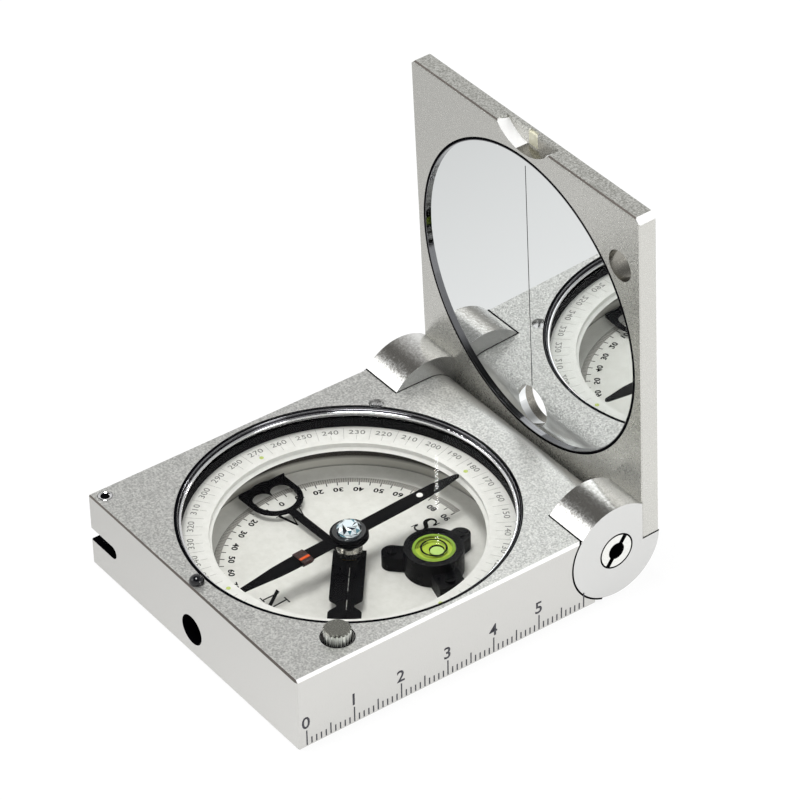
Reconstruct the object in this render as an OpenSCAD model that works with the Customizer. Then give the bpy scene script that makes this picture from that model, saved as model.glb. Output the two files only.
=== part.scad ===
// Geological compass with a mirror lid, drawn open. Millimetres, +Z up.
// The origin is the dial centre on the underside of the case. -Y is the front
// (the N end), +Y is the hinge end, and +X is the face that carries the ruler.

/* [Case] */
// Width of the case, from the plain side to the ruler side
case_w = 64.2; // [63.4:0.1:70]
// Height of the case
case_h = 15.5; // [15.3:0.1:18]
// Distance from the dial centre to the front face
front_len = 34; // [34:0.1:38]
// Distance from the dial centre to the hinge axis
hinge_len = 35; // [34.6:0.1:40]
// Chamfer along the outer edges of the case and the lid
edge_chamfer = 0.5; // [0.3:0.1:0.8]
// Thickness of the floor of the case
floor_t = 2.6; // [2.4:0.1:3]
// Radius of the bowl under the azimuth ring
bowl_r = 28.5; // [28:0.1:28.6]
// Depth of the shoulder that the azimuth ring turns on, below the top of the case
shoulder_depth = 7; // [6.9:0.1:7.2]

/* [Bezel and glass] */
// Outer radius of the bezel
bezel_r = 30.75; // [30.7:0.05:31]
// Wall thickness of the bezel
bezel_wall = 0.5; // [0.4:0.05:0.55]
// Height of the bezel
bezel_h = 4.5; // [4.2:0.1:4.8]
// Thickness of the cover glass
glass_t = 1; // [0.8:0.1:1.1]
// Gap between the azimuth ring and the cover glass
glass_gap = 1.9; // [1.8:0.1:2]
// Diameter of the wire ring that holds the glass down
wire_d = 0.6; // [0.4:0.1:0.7]
// Radial width of the ring that the glass is seated on
seat_w = 0.35; // [0.3:0.05:0.5]

/* [Azimuth ring] */
// Outer radius of the azimuth ring
ring_r = 30.2; // [30:0.05:30.2]
// Inner radius of the flat scale face
ring_inner_r = 24.9; // [24.8:0.1:25.5]
// Depth of the scale face below the top of the case
ring_depth = 4.1; // [4:0.1:4.2]
// Thickness of the azimuth ring
ring_t = 1.4; // [1.2:0.1:1.5]
// Width of the bevelled lip inside the scale face
ring_lip = 0.5; // [0.3:0.1:0.7]
// Module of the adjusting gear
gear_module = 0.3; // [0.28:0.01:0.31]
// Teeth on the adjusting gear
gear_teeth = 12; // [11:1:12]
// Direction of the declination adjuster, anticlockwise from +X
adjuster_az = 135; // [130:1:140]
// Largest turn of the azimuth ring each way, for declination
declination = 10; // [6:1:12]

/* [Dial and level] */
// Thickness of the dial plate
dial_t = 1; // [0.8:0.1:1.2]
// Distance of the round level from the dial centre
level_dist = 15.1; // [14.6:0.1:15.4]
// Direction of the round level, anticlockwise from +X
level_az = 46.6; // [40:0.5:50]
// Radius of the level housing
level_r = 5.45; // [5:0.05:5.6]
// Depth of the top of the level below the needle's pivot
level_drop = 1.85; // [1.7:0.05:2.2]
// Radius of the level vial
vial_r = 3.95; // [3.5:0.05:4.2]
// Thickness of the level's screw lugs
lug_t = 2.4; // [1.8:0.1:2.8]
// Radius of the two round lugs
lug_r = 1.9; // [1.6:0.1:2]
// Distance of the lug screws from the centre of the level
lug_dist = 7.6; // [7.2:0.1:7.8]

/* [Needle] */
// Gap between the needle's tips and the azimuth ring
needle_gap = 0.3; // [0.3:0.1:2.5]
// Width of the needle at its widest
needle_w = 3.1; // [2.4:0.1:3.4]
// Thickness of the needle
needle_t = 0.3; // [0.2:0.05:0.4]
// Depth of the needle's pivot below the cover glass
needle_drop = 2.95; // [2.9:0.05:3.1]
// Dip of the needle, with the end near the hinge raised
needle_dip = 2.8; // [0:0.1:3]
// Turn of the needle from the line of the case
needle_turn = 0.7; // [-20:0.1:20]
// Radius of the needle hub
hub_r = 3.5; // [3.1:0.1:3.8]
// Radius of the pivot post
post_r = 1; // [0.9:0.05:1.1]

/* [Clinometer] */
// Gap between the pointer and the wall of the bowl
pointer_gap = 2.3; // [1.1:0.1:2.6]
// Length of the square part of the pointer plate
pointer_plate = 4.2; // [4:0.1:5.4]
// Width of the pointer plate
pointer_w = 10.3; // [9.6:0.1:10.5]
// Width of the pointer's border round its window
pointer_rim = 1.1; // [0.9:0.1:1.3]
// Thickness of the pointer
pointer_t = 0.3; // [0.2:0.05:0.4]
// Direction of the pointer, anticlockwise from +X
pointer_az = 182.3; // [178:0.1:186]

/* [Needle lock] */
// Direction of the locking knob, anticlockwise from +X
lock_az = 321; // [319:0.5:323]
// Gap between the locking knob and the bezel
lock_gap = 1.1; // [0.9:0.1:1.6]
// Radius of the knurled knob
knob_r = 2.5; // [2.2:0.1:2.5]
// Height of the knob above the case
knob_proud = 2; // [1.2:0.1:2.1]
// Number of knurls round the knob
knurls = 20; // [12:1:24]
// Distance from the post to the lever's pivot
lever_pivot = 15.2; // [14.8:0.1:15.6]
// Width of the lever
lever_w = 6; // [5:0.1:6.4]
// Thickness of the lever
lever_t = 0.5; // [0.4:0.05:0.6]

/* [Hinge] */
// Width of each hinge knuckle
knuckle_w = 9.35; // [8:0.05:10]
// Clearance between a knuckle and its pocket in the case
pocket_gap = 0.25; // [0.2:0.05:0.4]
// Clearance beside a knuckle
side_gap = 0.15; // [0.12:0.01:0.3]
// Radius of the hinge pins
pin_r = 2.4; // [2.2:0.05:2.6]
// Radius of the slotted pin heads
pin_head_r = 3.5; // [3.2:0.1:3.8]
// Thickness of the pin heads
pin_head_t = 1.6; // [1.3:0.1:2]
// Running clearance of pins, spindles and sliding sleeves
running = 0.05; // [0.03:0.01:0.08]

/* [Lid] */
// Thickness of the lid
lid_t = 3.7; // [3.6:0.1:3.9]
// Gap between the closed lid and the case
lid_gap = 0.1; // [0.08:0.01:0.2]
// Opening of the lid from closed
lid_open = 88.1; // [80:0.1:95]
// Radius of the mirror recess
mirror_r = 30.3; // [29:0.1:30.6]
// Distance from the hinge axis to the centre of the mirror
mirror_dist = 34.65; // [34.4:0.05:34.8]
// Radial width of the ring round the mirror
mirror_ring_w = 0.5; // [0.4:0.1:1]
// Depth of the mirror below the face of the lid
mirror_depth = 0.6; // [0.5:0.1:0.9]
// Thickness of the mirror glass
mirror_t = 1.5; // [1:0.1:1.6]
// Radius of the sight hole
sight_r = 4.1; // [3:0.1:4.4]
// Distance from the hinge axis to the sight hole
sight_dist = 9.9; // [9.6:0.1:10.4]
// Radius of the hole that the knob stands in when the lid is closed
knob_hole_r = 3; // [3:0.05:3.1]
// Radius of the curve of the front scallop
scallop_r = 9.8; // [9:0.1:12]
// Reach of the scallop from the front edge of the lid
scallop_reach = 3.35; // [3.3:0.05:3.5]
// Depth of the scallop into the lid
scallop_depth = 2.5; // [2:0.1:2.6]
// Width of the sight strip
strip_w = 2.5; // [1.5:0.1:3]
// Thickness of the sight strip
strip_t = 0.5; // [0.3:0.1:0.7]

/* [Front socket, bead and strap] */
// Radius of the socket in the front face
socket_r = 3; // [2.5:0.05:3]
// Depth of the socket
socket_depth = 3.4; // [2.5:0.1:3.4]
// Height of the socket's centre
socket_z = 5.5; // [5.2:0.1:5.5]
// Radius of the sight bead
bead_r = 1.5; // [1.2:0.05:1.5]
// Height of the sight bead above the case
bead_h = 1.5; // [1:0.1:1.6]
// Height of the strap slot
slot_h = 2.7; // [2:0.1:3]
// Length of the strap slot along the front
slot_len = 8.3; // [7:0.1:9]
// Depth of the strap slot behind the front face
slot_depth = 5; // [4.4:0.1:5.4]
// Height of the slot's middle
slot_z = 6.75; // [6:0.05:7.5]
// Distance of the strap pin from the front and from the side
strap_pin_in = 2.2; // [2:0.1:2.6]
// Radius of the strap pin
strap_pin_r = 1; // [0.8:0.05:1.2]

/* [Hidden] */
$fn = 64;
// Overlap that makes a cut pass through a face
cut = 0.1;

// Hinge and lid
half_w = case_w / 2;
pin_z = (case_h + lid_gap + lid_t) / 2;
knuckle_r = pin_z;
lid_face = case_h + lid_gap - pin_z;
lid_back = lid_face + lid_t;
rear_r = case_h - pin_z;
lid_len = front_len + hinge_len;
lid_foot = 0.45;
pocket_x = half_w - knuckle_w - side_gap;
pocket_r = knuckle_r + pocket_gap;
pocket_lip = 4.7;
pin_depth = 8;
pin_hole_r = pin_r - 0.7;
pin_hole_depth = 4;
pin_slot_w = 1;
pin_slot_depth = 1;
pin_slot_turn = 55;
washer_t = 0.5;
washer_proud = 0.1;
washer_rim = 1.8;
washer_r = pin_r + washer_rim;
lid_screw_z = 4;
lid_screw_r = 0.8;
lid_screw_head_r = 1.6;
lid_screw_len = 6.6;
lid_slot_depth = 0.4;
lid_slot_w = 0.4;
lid_screw_in = 2.4;
lid_screw_out = 2.8;
lid_screw_x = [half_w - knuckle_w + lid_screw_in, half_w - lid_screw_out];
lock_r = bezel_r + knob_r + lock_gap;
lock_x = lock_r * cos(lock_az);
lock_y = -lock_r * sin(lock_az);
knob_hole_z = hinge_len + lock_y;

// Bezel, glass and azimuth ring
bezel_in = bezel_r - bezel_wall;
bezel_z = case_h - bezel_h;
ring_z = case_h - ring_depth;
ring_under = ring_z - ring_t;
shoulder_z = case_h - shoulder_depth;
ring_clear = 0.2;
ring_step = 0.9;
glass_z = ring_z + glass_gap;
glass_r = bezel_in - running;
wire_z = glass_z + glass_t + wire_d / 2;
wire_r = glass_r - wire_d / 2;
seat_z = ring_z + running;

// Declination gearing
pinion_r = gear_module * gear_teeth / 2;
rack_r = 30;
gear_dist = rack_r + pinion_r;
tooth_pitch = 360 * pinion_r / (gear_teeth * rack_r);
pressure = 25;
addendum = 0.8 * gear_module;
dedendum = 1.05 * gear_module;
backlash = 0.03;
skirt_r = rack_r - dedendum;
skirt_in = 28.7;
gear_clear = 0.05;
rack_teeth = ceil((declination + 2.6) / tooth_pitch);
adjuster_head_r = 1.35;
adjuster_head_t = 1.55;
adjuster_sunk = 0.55;
adjuster_r = 0.9;
adjuster_foot = 1.5;
adjuster_clear = 0.07;
adjuster_pocket = 0.25;

// Dial, level and pointer heights
dial_z = floor_t + dial_t;
dial_r = bowl_r - 0.1;
needle_z = glass_z - needle_drop;
needle_len = ring_inner_r - needle_gap;
level_top = needle_z - level_drop;
level_h = level_top - dial_z;
level_at = [level_dist * cos(level_az), level_dist * sin(level_az)];
level_lug_az = [105, 225];
level_foot_az = 345;
foot_len = 9.2;
foot_w = 5;
vial_floor = 0.7;
level_glass_t = 0.5;
rim_lip = 0.15;
bubble_r = 1.37;
bubble_depth = 0.6;
bubble_at = [0.95, -0.05];
screw_r = 0.55;
screw_head_r = 0.95;
screw_head_t = 0.4;
screw_grip = 2;
post_foot = 2;
post_step_r = 1.6;
post_step = 1.1;
bush_z = dial_z + post_step;
bush_flange = 0.2;
bush_h = 0.65;
bush_r = post_r + 0.7;
bush_flange_r = 2.4;
pointer_z = bush_z + bush_flange;
pointer_len = bowl_r - pointer_gap;
pointer_bow = pointer_len - pointer_plate;
pointer_stem = 0.8;
pointer_eye = 2.6;
pointer_lip = 0.5;

// Needle lock
lever_gap = 0.4;
lever_z = pointer_z + pointer_t + lever_gap;
lever_top = lever_z + lever_t;
lever_pin_z = lever_z - 0.75;
lever_pin_r = 0.35;
lever_barrel_r = 0.85;
lever_barrel_half = 0.65;
lever_corner = 0.5;
neck_w = 3.2;
neck_back = 2.5;
neck_front = 1.5;
neck_taper = 1.5;
neck_from = lever_pivot - neck_back;
neck_to = lever_pivot + neck_front;
foot_reach = 2.1;
foot_end = neck_to + foot_reach;
ear_w = 0.75;
ear_gap = lever_barrel_half + 0.1;
ear_len = 1.8;
tongue_w = 2.4;
tongue_end = lock_r + 0.9;
rib_w = 0.7;
rib_h = 0.25;
rib_gap = 0.4;
fork_w = 2 * post_r + 0.5;
fork_reach = 0.5;
lift = 0.4;
lock_travel = 0.5;
touch = 0.05;
slot_side = 0.5;
well_r = knob_r + 0.35;
well_depth = 2.2;
knob_sunk = 1.3;
spindle_r = 1.2;
spindle_z = case_h - 6.5;
lift_pin_r = 0.8;
collar_z = lever_top + touch;
collar_top = needle_z - 1.05;
collar_flange_r = 2.36;
collar_flange_h = 1.15;
collar_r = 1.8;

// Needle, in its own level frame
cup_under = 0.75;
cup_over = 0.45;
cup_bore_r = 1.3;
cup_bore_top = -0.15;
pivot_tip = needle_z + cup_bore_top - 0.03;
pivot_cone = 0.8;
needle_eye = 3;
jewel_r = 2.05;
jewel_flange_r = 3.05;
jewel_flange_h = 0.35;
jewel_h = 1.6;
hub_seat_r = 2;
dot_at = 15.75;
dot_r = 0.6;
coil_at = 9.9;
coil_len = 2.7;
coil_w = 3.65;
coil_t = 1;

// Bead, strap pin and scallop
bead_y = -(bezel_r + 0.05 + bead_r);
bead_shank_r = 0.8;
bead_shank = 4;
strap_head_r = strap_pin_r + 0.4;
strap_head_t = 1.4;
strap_foot = 2;
scallop_at = lid_len - scallop_reach + scallop_r;
strip_z = lid_len - scallop_reach + 0.35;

// A block with a chamfer on every edge, from its low corner to its high corner
module chamfered(low, high, c) {
    size = high - low;
    translate(low) intersection() {
        linear_extrude(size.z) chamfered_square(size.x, size.y, c);
        translate([0, size.y, 0]) rotate([90, 0, 0]) linear_extrude(size.y)
            chamfered_square(size.x, size.z, c);
        rotate([90, 0, 90]) linear_extrude(size.x) chamfered_square(size.y, size.z, c);
    }
}

module chamfered_square(a, b, c) {
    polygon([[c, 0], [a - c, 0], [a, c], [a, b - c], [a - c, b], [c, b], [0, b - c], [0, c]]);
}

// A cylinder along X from x0 to x1
module bar_x(r, x0, x1) {
    translate([x0, 0, 0]) rotate([0, 90, 0]) cylinder(r = r, h = x1 - x0);
}

// A cylinder along Y from y0 to y1
module bar_y(r, y0, y1) {
    translate([0, y1, 0]) rotate([90, 0, 0]) cylinder(r = r, h = y1 - y0);
}

// A flat ring standing on z = 0
module washer(outer, inner, h) {
    difference() {
        cylinder(r = outer, h = h);
        translate([0, 0, -cut]) cylinder(r = inner, h = h + 2 * cut);
    }
}

// A spherical dome of base radius r and height h, standing on z = 0
module dome(r, h) {
    ball_r = (r * r + h * h) / (2 * h);
    intersection() {
        translate([0, 0, h - ball_r]) sphere(r = ball_r);
        cylinder(r = ball_r + 1, h = h + 1);
    }
}

// Children placed at the hinge axis
module at_hinge() {
    translate([0, hinge_len, pin_z]) children();
}

// Children placed in the lid, which is drawn upright with its inner face towards the front
module in_lid() {
    at_hinge() rotate([90 - lid_open, 0, 0]) children();
}

// Children placed along the lever, with X pointing from the post to the knob
module along_lever() {
    rotate([0, 0, lock_az]) children();
}

module at_knob() {
    translate([lock_x, -lock_y, 0]) children();
}

module at_adjuster() {
    rotate([0, 0, adjuster_az]) translate([gear_dist, 0, 0]) children();
}

// Children placed in the frame of the needle, with Y along its raised arm
module on_needle() {
    translate([0, 0, needle_z]) rotate([0, 0, needle_turn]) rotate([needle_dip, 0, 0]) children();
}

module case_body() {
    color("gainsboro") difference() {
        case_block();
        case_bowl();
        for (side = [-1, 1]) hinge_pocket(side);
        strap_slot();
        strap_pin_shape(cut);
        translate([0, 0, socket_z]) bar_y(socket_r, -front_len - cut, -front_len + socket_depth);
        translate([0, bead_y, case_h - bead_shank]) cylinder(r = bead_shank_r, h = bead_shank + cut);
        knob_well();
        adjuster_well();
        lever_slot();
        translate([0, 0, floor_t - post_foot]) cylinder(r = post_r, h = post_foot + cut);
        level_screw_places() translate([0, 0, dial_z - screw_grip]) cylinder(r = screw_r, h = screw_grip);
    }
}

// The block of the case, rounded about the hinge axis at the rear
module case_block() {
    intersection() {
        chamfered([-half_w, -front_len, 0], [half_w, hinge_len + knuckle_r, case_h], edge_chamfer);
        union() {
            translate([-half_w, -front_len, 0]) cube([case_w, lid_len, case_h]);
            at_hinge() bar_x(rear_r, -half_w, half_w);
        }
    }
}

module case_bowl() {
    translate([0, 0, floor_t]) cylinder(r = bowl_r, h = case_h);
    translate([0, 0, shoulder_z]) cylinder(r = ring_r + ring_clear, h = case_h);
    translate([0, 0, bezel_z]) cylinder(r = bezel_r, h = case_h);
}

// Room for one knuckle, with a seat for its washer
module hinge_pocket(side) {
    mirror([side < 0 ? 1 : 0, 0, 0]) at_hinge() {
        bar_x(pocket_r, pocket_x, half_w + cut);
        translate([pocket_x, -pocket_lip, -case_h]) cube([half_w, case_h, case_h - pin_z / 2]);
        translate([pocket_x, 0, -pin_z - cut]) cube([half_w, pocket_r, 2 * pocket_r]);
        bar_x(washer_r + running, pocket_x - washer_t + washer_proud, pocket_x + cut);
        bar_x(pin_r, pocket_x - pin_depth, pocket_x);
    }
}

// The slot that the strap passes through, round the front left corner
module strap_slot() {
    translate([-half_w - cut, -front_len - cut, slot_z - slot_h / 2])
        cube([slot_len + cut - slot_h / 2, slot_depth + cut, slot_h]);
    translate([-half_w + slot_len - slot_h / 2, 0, slot_z])
        bar_y(slot_h / 2, -front_len - cut, -front_len + slot_depth);
}

module knob_well() {
    at_knob() {
        translate([0, 0, case_h - well_depth]) cylinder(r = well_r, h = well_depth + cut);
        translate([0, 0, spindle_z - lock_travel - touch]) cylinder(r = spindle_r + running, h = case_h);
        translate([0, 0, lever_z]) cylinder(r = lift_pin_r + running, h = case_h / 2);
    }
}

// Room for the declination adjuster: its head, its shaft and its gear
module adjuster_well() {
    gear_r = pinion_r + addendum + adjuster_pocket;
    gear_h = ring_under + 0.2 - shoulder_z;
    at_adjuster() {
        translate([0, 0, case_h - adjuster_sunk - adjuster_head_t - touch])
            cylinder(r = adjuster_head_r + adjuster_clear, h = case_h);
        translate([0, 0, shoulder_z - adjuster_foot]) cylinder(r = adjuster_r + running, h = case_h / 2);
        translate([0, 0, shoulder_z]) cylinder(r = gear_r, h = gear_h);
        translate([-2 * gear_r, -gear_r, shoulder_z]) cube([2 * gear_r, 2 * gear_r, gear_h]);
    }
}

// The slot through the bowl wall that the lever's tongue passes through
module lever_slot() {
    slot_under = lever_z - lock_travel - slot_side;
    along_lever() translate([bowl_r - 1, -tongue_w / 2 - slot_side, slot_under])
        cube([tongue_end + slot_side - bowl_r + 1, tongue_w + 2 * slot_side,
              lever_top + slot_side - slot_under]);
}

module bezel_ring() {
    lip = bezel_wall / 2;
    color("silver") difference() {
        rotate_extrude($fn = 128) {
            translate([bezel_in, bezel_z]) square([bezel_wall, bezel_h - lip]);
            translate([bezel_in + lip, case_h - lip]) circle(r = lip);
        }
        at_adjuster() cylinder(r = adjuster_head_r + adjuster_clear, h = case_h - adjuster_sunk + touch);
    }
}

module retaining_wire() {
    color("lightgray") translate([0, 0, wire_z]) rotate_extrude($fn = 128)
        translate([wire_r, 0]) circle(r = wire_d / 2);
}

module cover_glass() {
    color("azure", 0.3) translate([0, 0, glass_z]) cylinder(r = glass_r, h = glass_t);
}

// The dark ring that stands between the azimuth ring and the glass
module glass_seat() {
    color("dimgray") translate([0, 0, seat_z])
        washer(glass_r, glass_r - seat_w, glass_z - seat_z);
}

// The scale ring: its flat face, the bevelled lip inside it, and the skirt with the rack below
module azimuth_ring() {
    color("white") {
        rotate_extrude($fn = 128) polygon([
            [ring_inner_r - ring_lip, ring_under], [ring_r, ring_under], [ring_r, ring_z],
            [ring_inner_r, ring_z], [ring_inner_r + 0.1, ring_z - ring_step],
            [ring_inner_r - ring_lip, ring_under + 0.05]]);
        translate([0, 0, shoulder_z + touch]) {
            washer(skirt_r, skirt_in, ring_under - shoulder_z);
            rotate([0, 0, adjuster_az]) linear_extrude(ring_under - shoulder_z)
                for (k = [-rack_teeth : rack_teeth]) rotate(k * tooth_pitch)
                    polygon(tooth(rack_r, skirt_r - 0.1));
        }
    }
}

// Involute of an angle in degrees, also in degrees
function involute(a) = tan(a) * 180 / PI - a;

// Half of the angle that a tooth fills at radius r
function tooth_half(pitch_r, r) =
    let (base_r = pitch_r * cos(pressure), thick = PI * gear_module / 4 - backlash)
    thick / pitch_r * 180 / PI + involute(pressure) - involute(acos(min(1, base_r / max(r, base_r))));

// Outline of one tooth on the X axis, from the given root radius to its tip
function tooth(pitch_r, root_r) =
    let (tip_r = pitch_r + addendum, radii = [for (i = [0 : 4]) root_r + (tip_r - root_r) * i / 4])
    concat([for (r = radii) let (a = -tooth_half(pitch_r, r)) [r * cos(a), r * sin(a)]],
           [for (i = [4 : -1 : 0]) let (r = radii[i], a = tooth_half(pitch_r, r))
               [r * cos(a), r * sin(a)]]);

// The gear on the adjuster, with a gap between its teeth towards the dial centre
module adjuster_gear() {
    root_r = pinion_r - dedendum;
    color("goldenrod") at_adjuster() translate([0, 0, shoulder_z + gear_clear]) difference() {
        linear_extrude(ring_under - shoulder_z - 2 * gear_clear) {
            circle(r = root_r);
            for (k = [0 : gear_teeth - 1]) rotate(180 + (k + 0.5) * 360 / gear_teeth)
                polygon(tooth(pinion_r, root_r - 0.1));
        }
        translate([0, 0, -cut]) cylinder(r = adjuster_r, h = case_h);
    }
}

module adjuster_screw() {
    head_z = case_h - adjuster_sunk - adjuster_head_t;
    color("silver") at_adjuster() difference() {
        union() {
            translate([0, 0, shoulder_z - adjuster_foot + touch])
                cylinder(r = adjuster_r, h = head_z - shoulder_z + adjuster_foot);
            translate([0, 0, head_z]) cylinder(r = adjuster_head_r, h = adjuster_head_t);
        }
        translate([-0.2, -case_h / 2, case_h - adjuster_sunk - 0.5]) cube([0.4, case_h, 1]);
    }
}

module dial_plate() {
    color("whitesmoke") difference() {
        translate([0, 0, floor_t]) cylinder(r = dial_r, h = dial_t);
        cylinder(r = post_r, h = dial_z + cut);
        level_screw_places() cylinder(r = screw_r, h = dial_z + cut);
    }
}

// The steel post, with a step for the pointer's bush and a point that the needle turns on
module pivot_post() {
    color("silver") {
        translate([0, 0, floor_t - post_foot])
            cylinder(r = post_r, h = pivot_tip - pivot_cone - floor_t + post_foot);
        translate([0, 0, dial_z]) cylinder(r = post_step_r, h = post_step);
        translate([0, 0, pivot_tip - pivot_cone]) cylinder(r1 = post_r, r2 = 0.1, h = pivot_cone);
    }
}

module at_level() {
    translate([level_at.x, level_at.y, 0]) children();
}

// Children placed at each of the level's three screws
module level_screw_places() {
    at_level() for (a = concat(level_lug_az, level_foot_az)) rotate([0, 0, a])
        translate([lug_dist, 0, 0]) children();
}

module level_housing() {
    color([0.06, 0.06, 0.07]) difference() {
        at_level() {
            translate([0, 0, dial_z]) cylinder(r = level_r, h = level_h);
            for (a = level_lug_az) rotate([0, 0, a]) lug();
            rotate([0, 0, level_foot_az]) level_foot_plate();
        }
        at_level() {
            translate([0, 0, dial_z + vial_floor]) cylinder(r = vial_r, h = level_h);
            translate([0, 0, level_top - rim_lip])
                cylinder(r1 = vial_r + 0.4, r2 = vial_r + 0.8, h = rim_lip + cut);
        }
        level_screw_places() cylinder(r = screw_r, h = case_h);
    }
}

// A round lug that reaches out from the level housing
module lug() {
    translate([lug_dist, 0, dial_z]) cylinder(r = lug_r, h = lug_t);
    translate([0, -lug_r, dial_z]) cube([lug_dist, 2 * lug_r, lug_t]);
}

// The square foot of the level housing
module level_foot_plate() {
    translate([0, -foot_w / 2, dial_z]) cube([foot_len, foot_w, lug_t]);
}

// The liquid of the level, with its bubble under the glass
module level_fluid() {
    liquid_h = level_h - vial_floor - level_glass_t - rim_lip;
    color([0.66, 0.8, 0.2], 0.9) at_level() difference() {
        translate([0, 0, dial_z + vial_floor]) cylinder(r = vial_r, h = liquid_h);
        translate([bubble_at.x, bubble_at.y, dial_z + vial_floor + liquid_h + cut]) mirror([0, 0, 1])
            dome(bubble_r, bubble_depth + cut);
    }
}

module level_glass() {
    color("azure", 0.3) at_level() translate([0, 0, level_top - rim_lip - level_glass_t])
        cylinder(r = vial_r, h = level_glass_t);
}

module level_screws() {
    color("dimgray") level_screw_places() difference() {
        union() {
            translate([0, 0, dial_z - screw_grip]) cylinder(r = screw_r, h = screw_grip + lug_t);
            translate([0, 0, dial_z + lug_t]) cylinder(r = screw_head_r, h = screw_head_t);
        }
        translate([-0.13, -screw_head_r, dial_z + lug_t + 0.2]) cube([0.26, 2 * screw_head_r, 1]);
    }
}

// The bracket whose two ears carry the lever's pivot, under the neck
module lever_bracket() {
    ear_top = lever_pin_z + lever_pin_r + 0.25;
    color("dimgray") along_lever() translate([lever_pivot, 0, 0]) difference() {
        union() {
            translate([-ear_len / 2, -ear_gap - ear_w, dial_z]) cube([ear_len, 2 * (ear_gap + ear_w), 0.3]);
            for (side = [-1, 1]) translate([-ear_len / 2, side * (ear_gap + ear_w / 2) - ear_w / 2, dial_z])
                cube([ear_len, ear_w, ear_top - dial_z]);
        }
        translate([0, 0, lever_pin_z]) bar_y(lever_pin_r, -lever_w, lever_w);
    }
}

module lever_pin() {
    half = ear_gap + ear_w;
    color("silver") along_lever() translate([lever_pivot, 0, lever_pin_z]) bar_y(lever_pin_r, -half, half);
}

// The rocking lever: a fork under the collar, a neck at the pivot and a tongue under the knob
module lift_lever() {
    color([0.07, 0.07, 0.08]) along_lever() difference() {
        union() {
            translate([0, 0, lever_z]) linear_extrude(lever_t) lever_outline();
            translate([lever_pivot, 0, lever_pin_z]) bar_y(lever_barrel_r, -lever_barrel_half, lever_barrel_half);
            translate([hub_r, -rib_w / 2, lever_top - cut])
                cube([foot_end - hub_r - rib_gap, rib_w, rib_h + cut]);
        }
        translate([-2 * lever_w, -fork_w / 2, 0]) cube([2 * lever_w + collar_flange_r, fork_w, case_h]);
        translate([lever_pivot, 0, lever_pin_z]) bar_y(lever_pin_r + running, -lever_w, lever_w);
    }
}

module lever_outline() {
    w = lever_w / 2;
    n = neck_w / 2;
    c = lever_corner;
    half = [[0, w], [neck_from, w], [neck_from + c, w - 0.4 * c], [neck_from + neck_taper, n],
            [neck_to - neck_taper, n], [neck_to - c, w - 0.6 * c], [neck_to, w], [foot_end - c, w],
            [foot_end, w - c]];
    polygon(concat(half, [for (i = [len(half) - 1 : -1 : 0]) [half[i].x, -half[i].y]]));
    intersection() {
        circle(r = lever_w / 2);
        translate([-fork_reach, -lever_w]) square([lever_w, 2 * lever_w]);
    }
    translate([neck_to, -tongue_w / 2]) square([tongue_end - neck_to, tongue_w]);
}

// The sleeve on the post that the lever raises against the needle
module lift_collar() {
    color("silver") translate([0, 0, collar_z]) difference() {
        union() {
            cylinder(r = collar_flange_r, h = collar_flange_h);
            cylinder(r = collar_r, h = collar_top - collar_z);
        }
        translate([0, 0, -cut]) cylinder(r = post_r + running, h = case_h);
    }
}

// The pin that the spindle presses down on the tongue
module lift_pin() {
    color("silver") at_knob() translate([0, 0, lever_top + touch])
        cylinder(r = lift_pin_r, h = spindle_z - lever_top - touch);
}

module knob_spindle() {
    color("silver") at_knob() translate([0, 0, spindle_z + 0.02])
        cylinder(r = spindle_r, h = case_h - knob_sunk - spindle_z - 0.02);
}

// The knurled knob, with a plain crown inside its knurls
module lock_knob() {
    knob_h = knob_sunk + knob_proud;
    color("silver") at_knob() translate([0, 0, case_h - knob_sunk]) difference() {
        intersection() {
            cylinder(r = knob_r, h = knob_h);
            cylinder(r1 = knob_r + knob_h - 0.3, r2 = knob_r - 0.3, h = knob_h);
        }
        for (k = [0 : knurls - 1]) rotate([0, 0, k * 360 / knurls]) translate([knob_r + 0.05, 0, -cut])
            rotate([0, 0, 45]) translate([-0.2, -0.2, 0]) cube([0.4, 0.4, knob_h + 2 * cut]);
    }
}

// The blade of the needle: a spear at the front, and a slim arm with a hole at the rear
module needle_blade() {
    w = needle_w / 2;
    half = [[0.1, -1], [0.37, -0.95], [0.62, -0.8], [0.9, -0.65], [1, -0.5], [0.9, -0.3],
            [0.9, 0.5], [0.84, 0.66], [0.77, 0.8], [0.3, 0.985], [0.1, 1]];
    outline = concat(half, [for (i = [len(half) - 1 : -1 : 0]) [-half[i].x, half[i].y]]);
    color([0.05, 0.05, 0.06]) on_needle()
        translate([0, 0, -needle_t / 2]) linear_extrude(needle_t) difference() {
            union() {
                polygon([for (p = outline) [p.x * w, p.y * needle_len]]);
                circle(r = needle_eye);
            }
            circle(r = hub_seat_r);
            translate([0, dot_at]) circle(r = dot_r);
        }
}

// The cap that joins the blade and turns on the point of the post
module needle_hub() {
    color([0.05, 0.05, 0.06]) on_needle() difference() {
        union() {
            translate([0, 0, -cup_under]) cylinder(r = hub_r, h = cup_under - needle_t / 2);
            cylinder(r = hub_seat_r, h = needle_t, center = true);
            translate([0, 0, needle_t / 2]) cylinder(r = hub_r, h = cup_over - needle_t / 2);
        }
        translate([0, 0, -cup_under - cut]) cylinder(r = cup_bore_r, h = cup_under + cut + cup_bore_top);
    }
}

module jewel_cap() {
    shoulder = 0.7;
    color("azure", 0.5) on_needle() translate([0, 0, cup_over]) {
        cylinder(r = jewel_flange_r, h = jewel_flange_h);
        cylinder(r = jewel_r, h = jewel_flange_h + jewel_h - shoulder);
        translate([0, 0, jewel_flange_h + jewel_h - shoulder]) dome(jewel_r, shoulder);
    }
}

// The band wound on the front arm to balance the needle
module balance_coil() {
    color("orangered") on_needle() translate([0, -coil_at, 0]) difference() {
        cube([coil_w, coil_len, coil_t], center = true);
        cube([needle_w, coil_len + cut, needle_t], center = true);
    }
}

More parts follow.
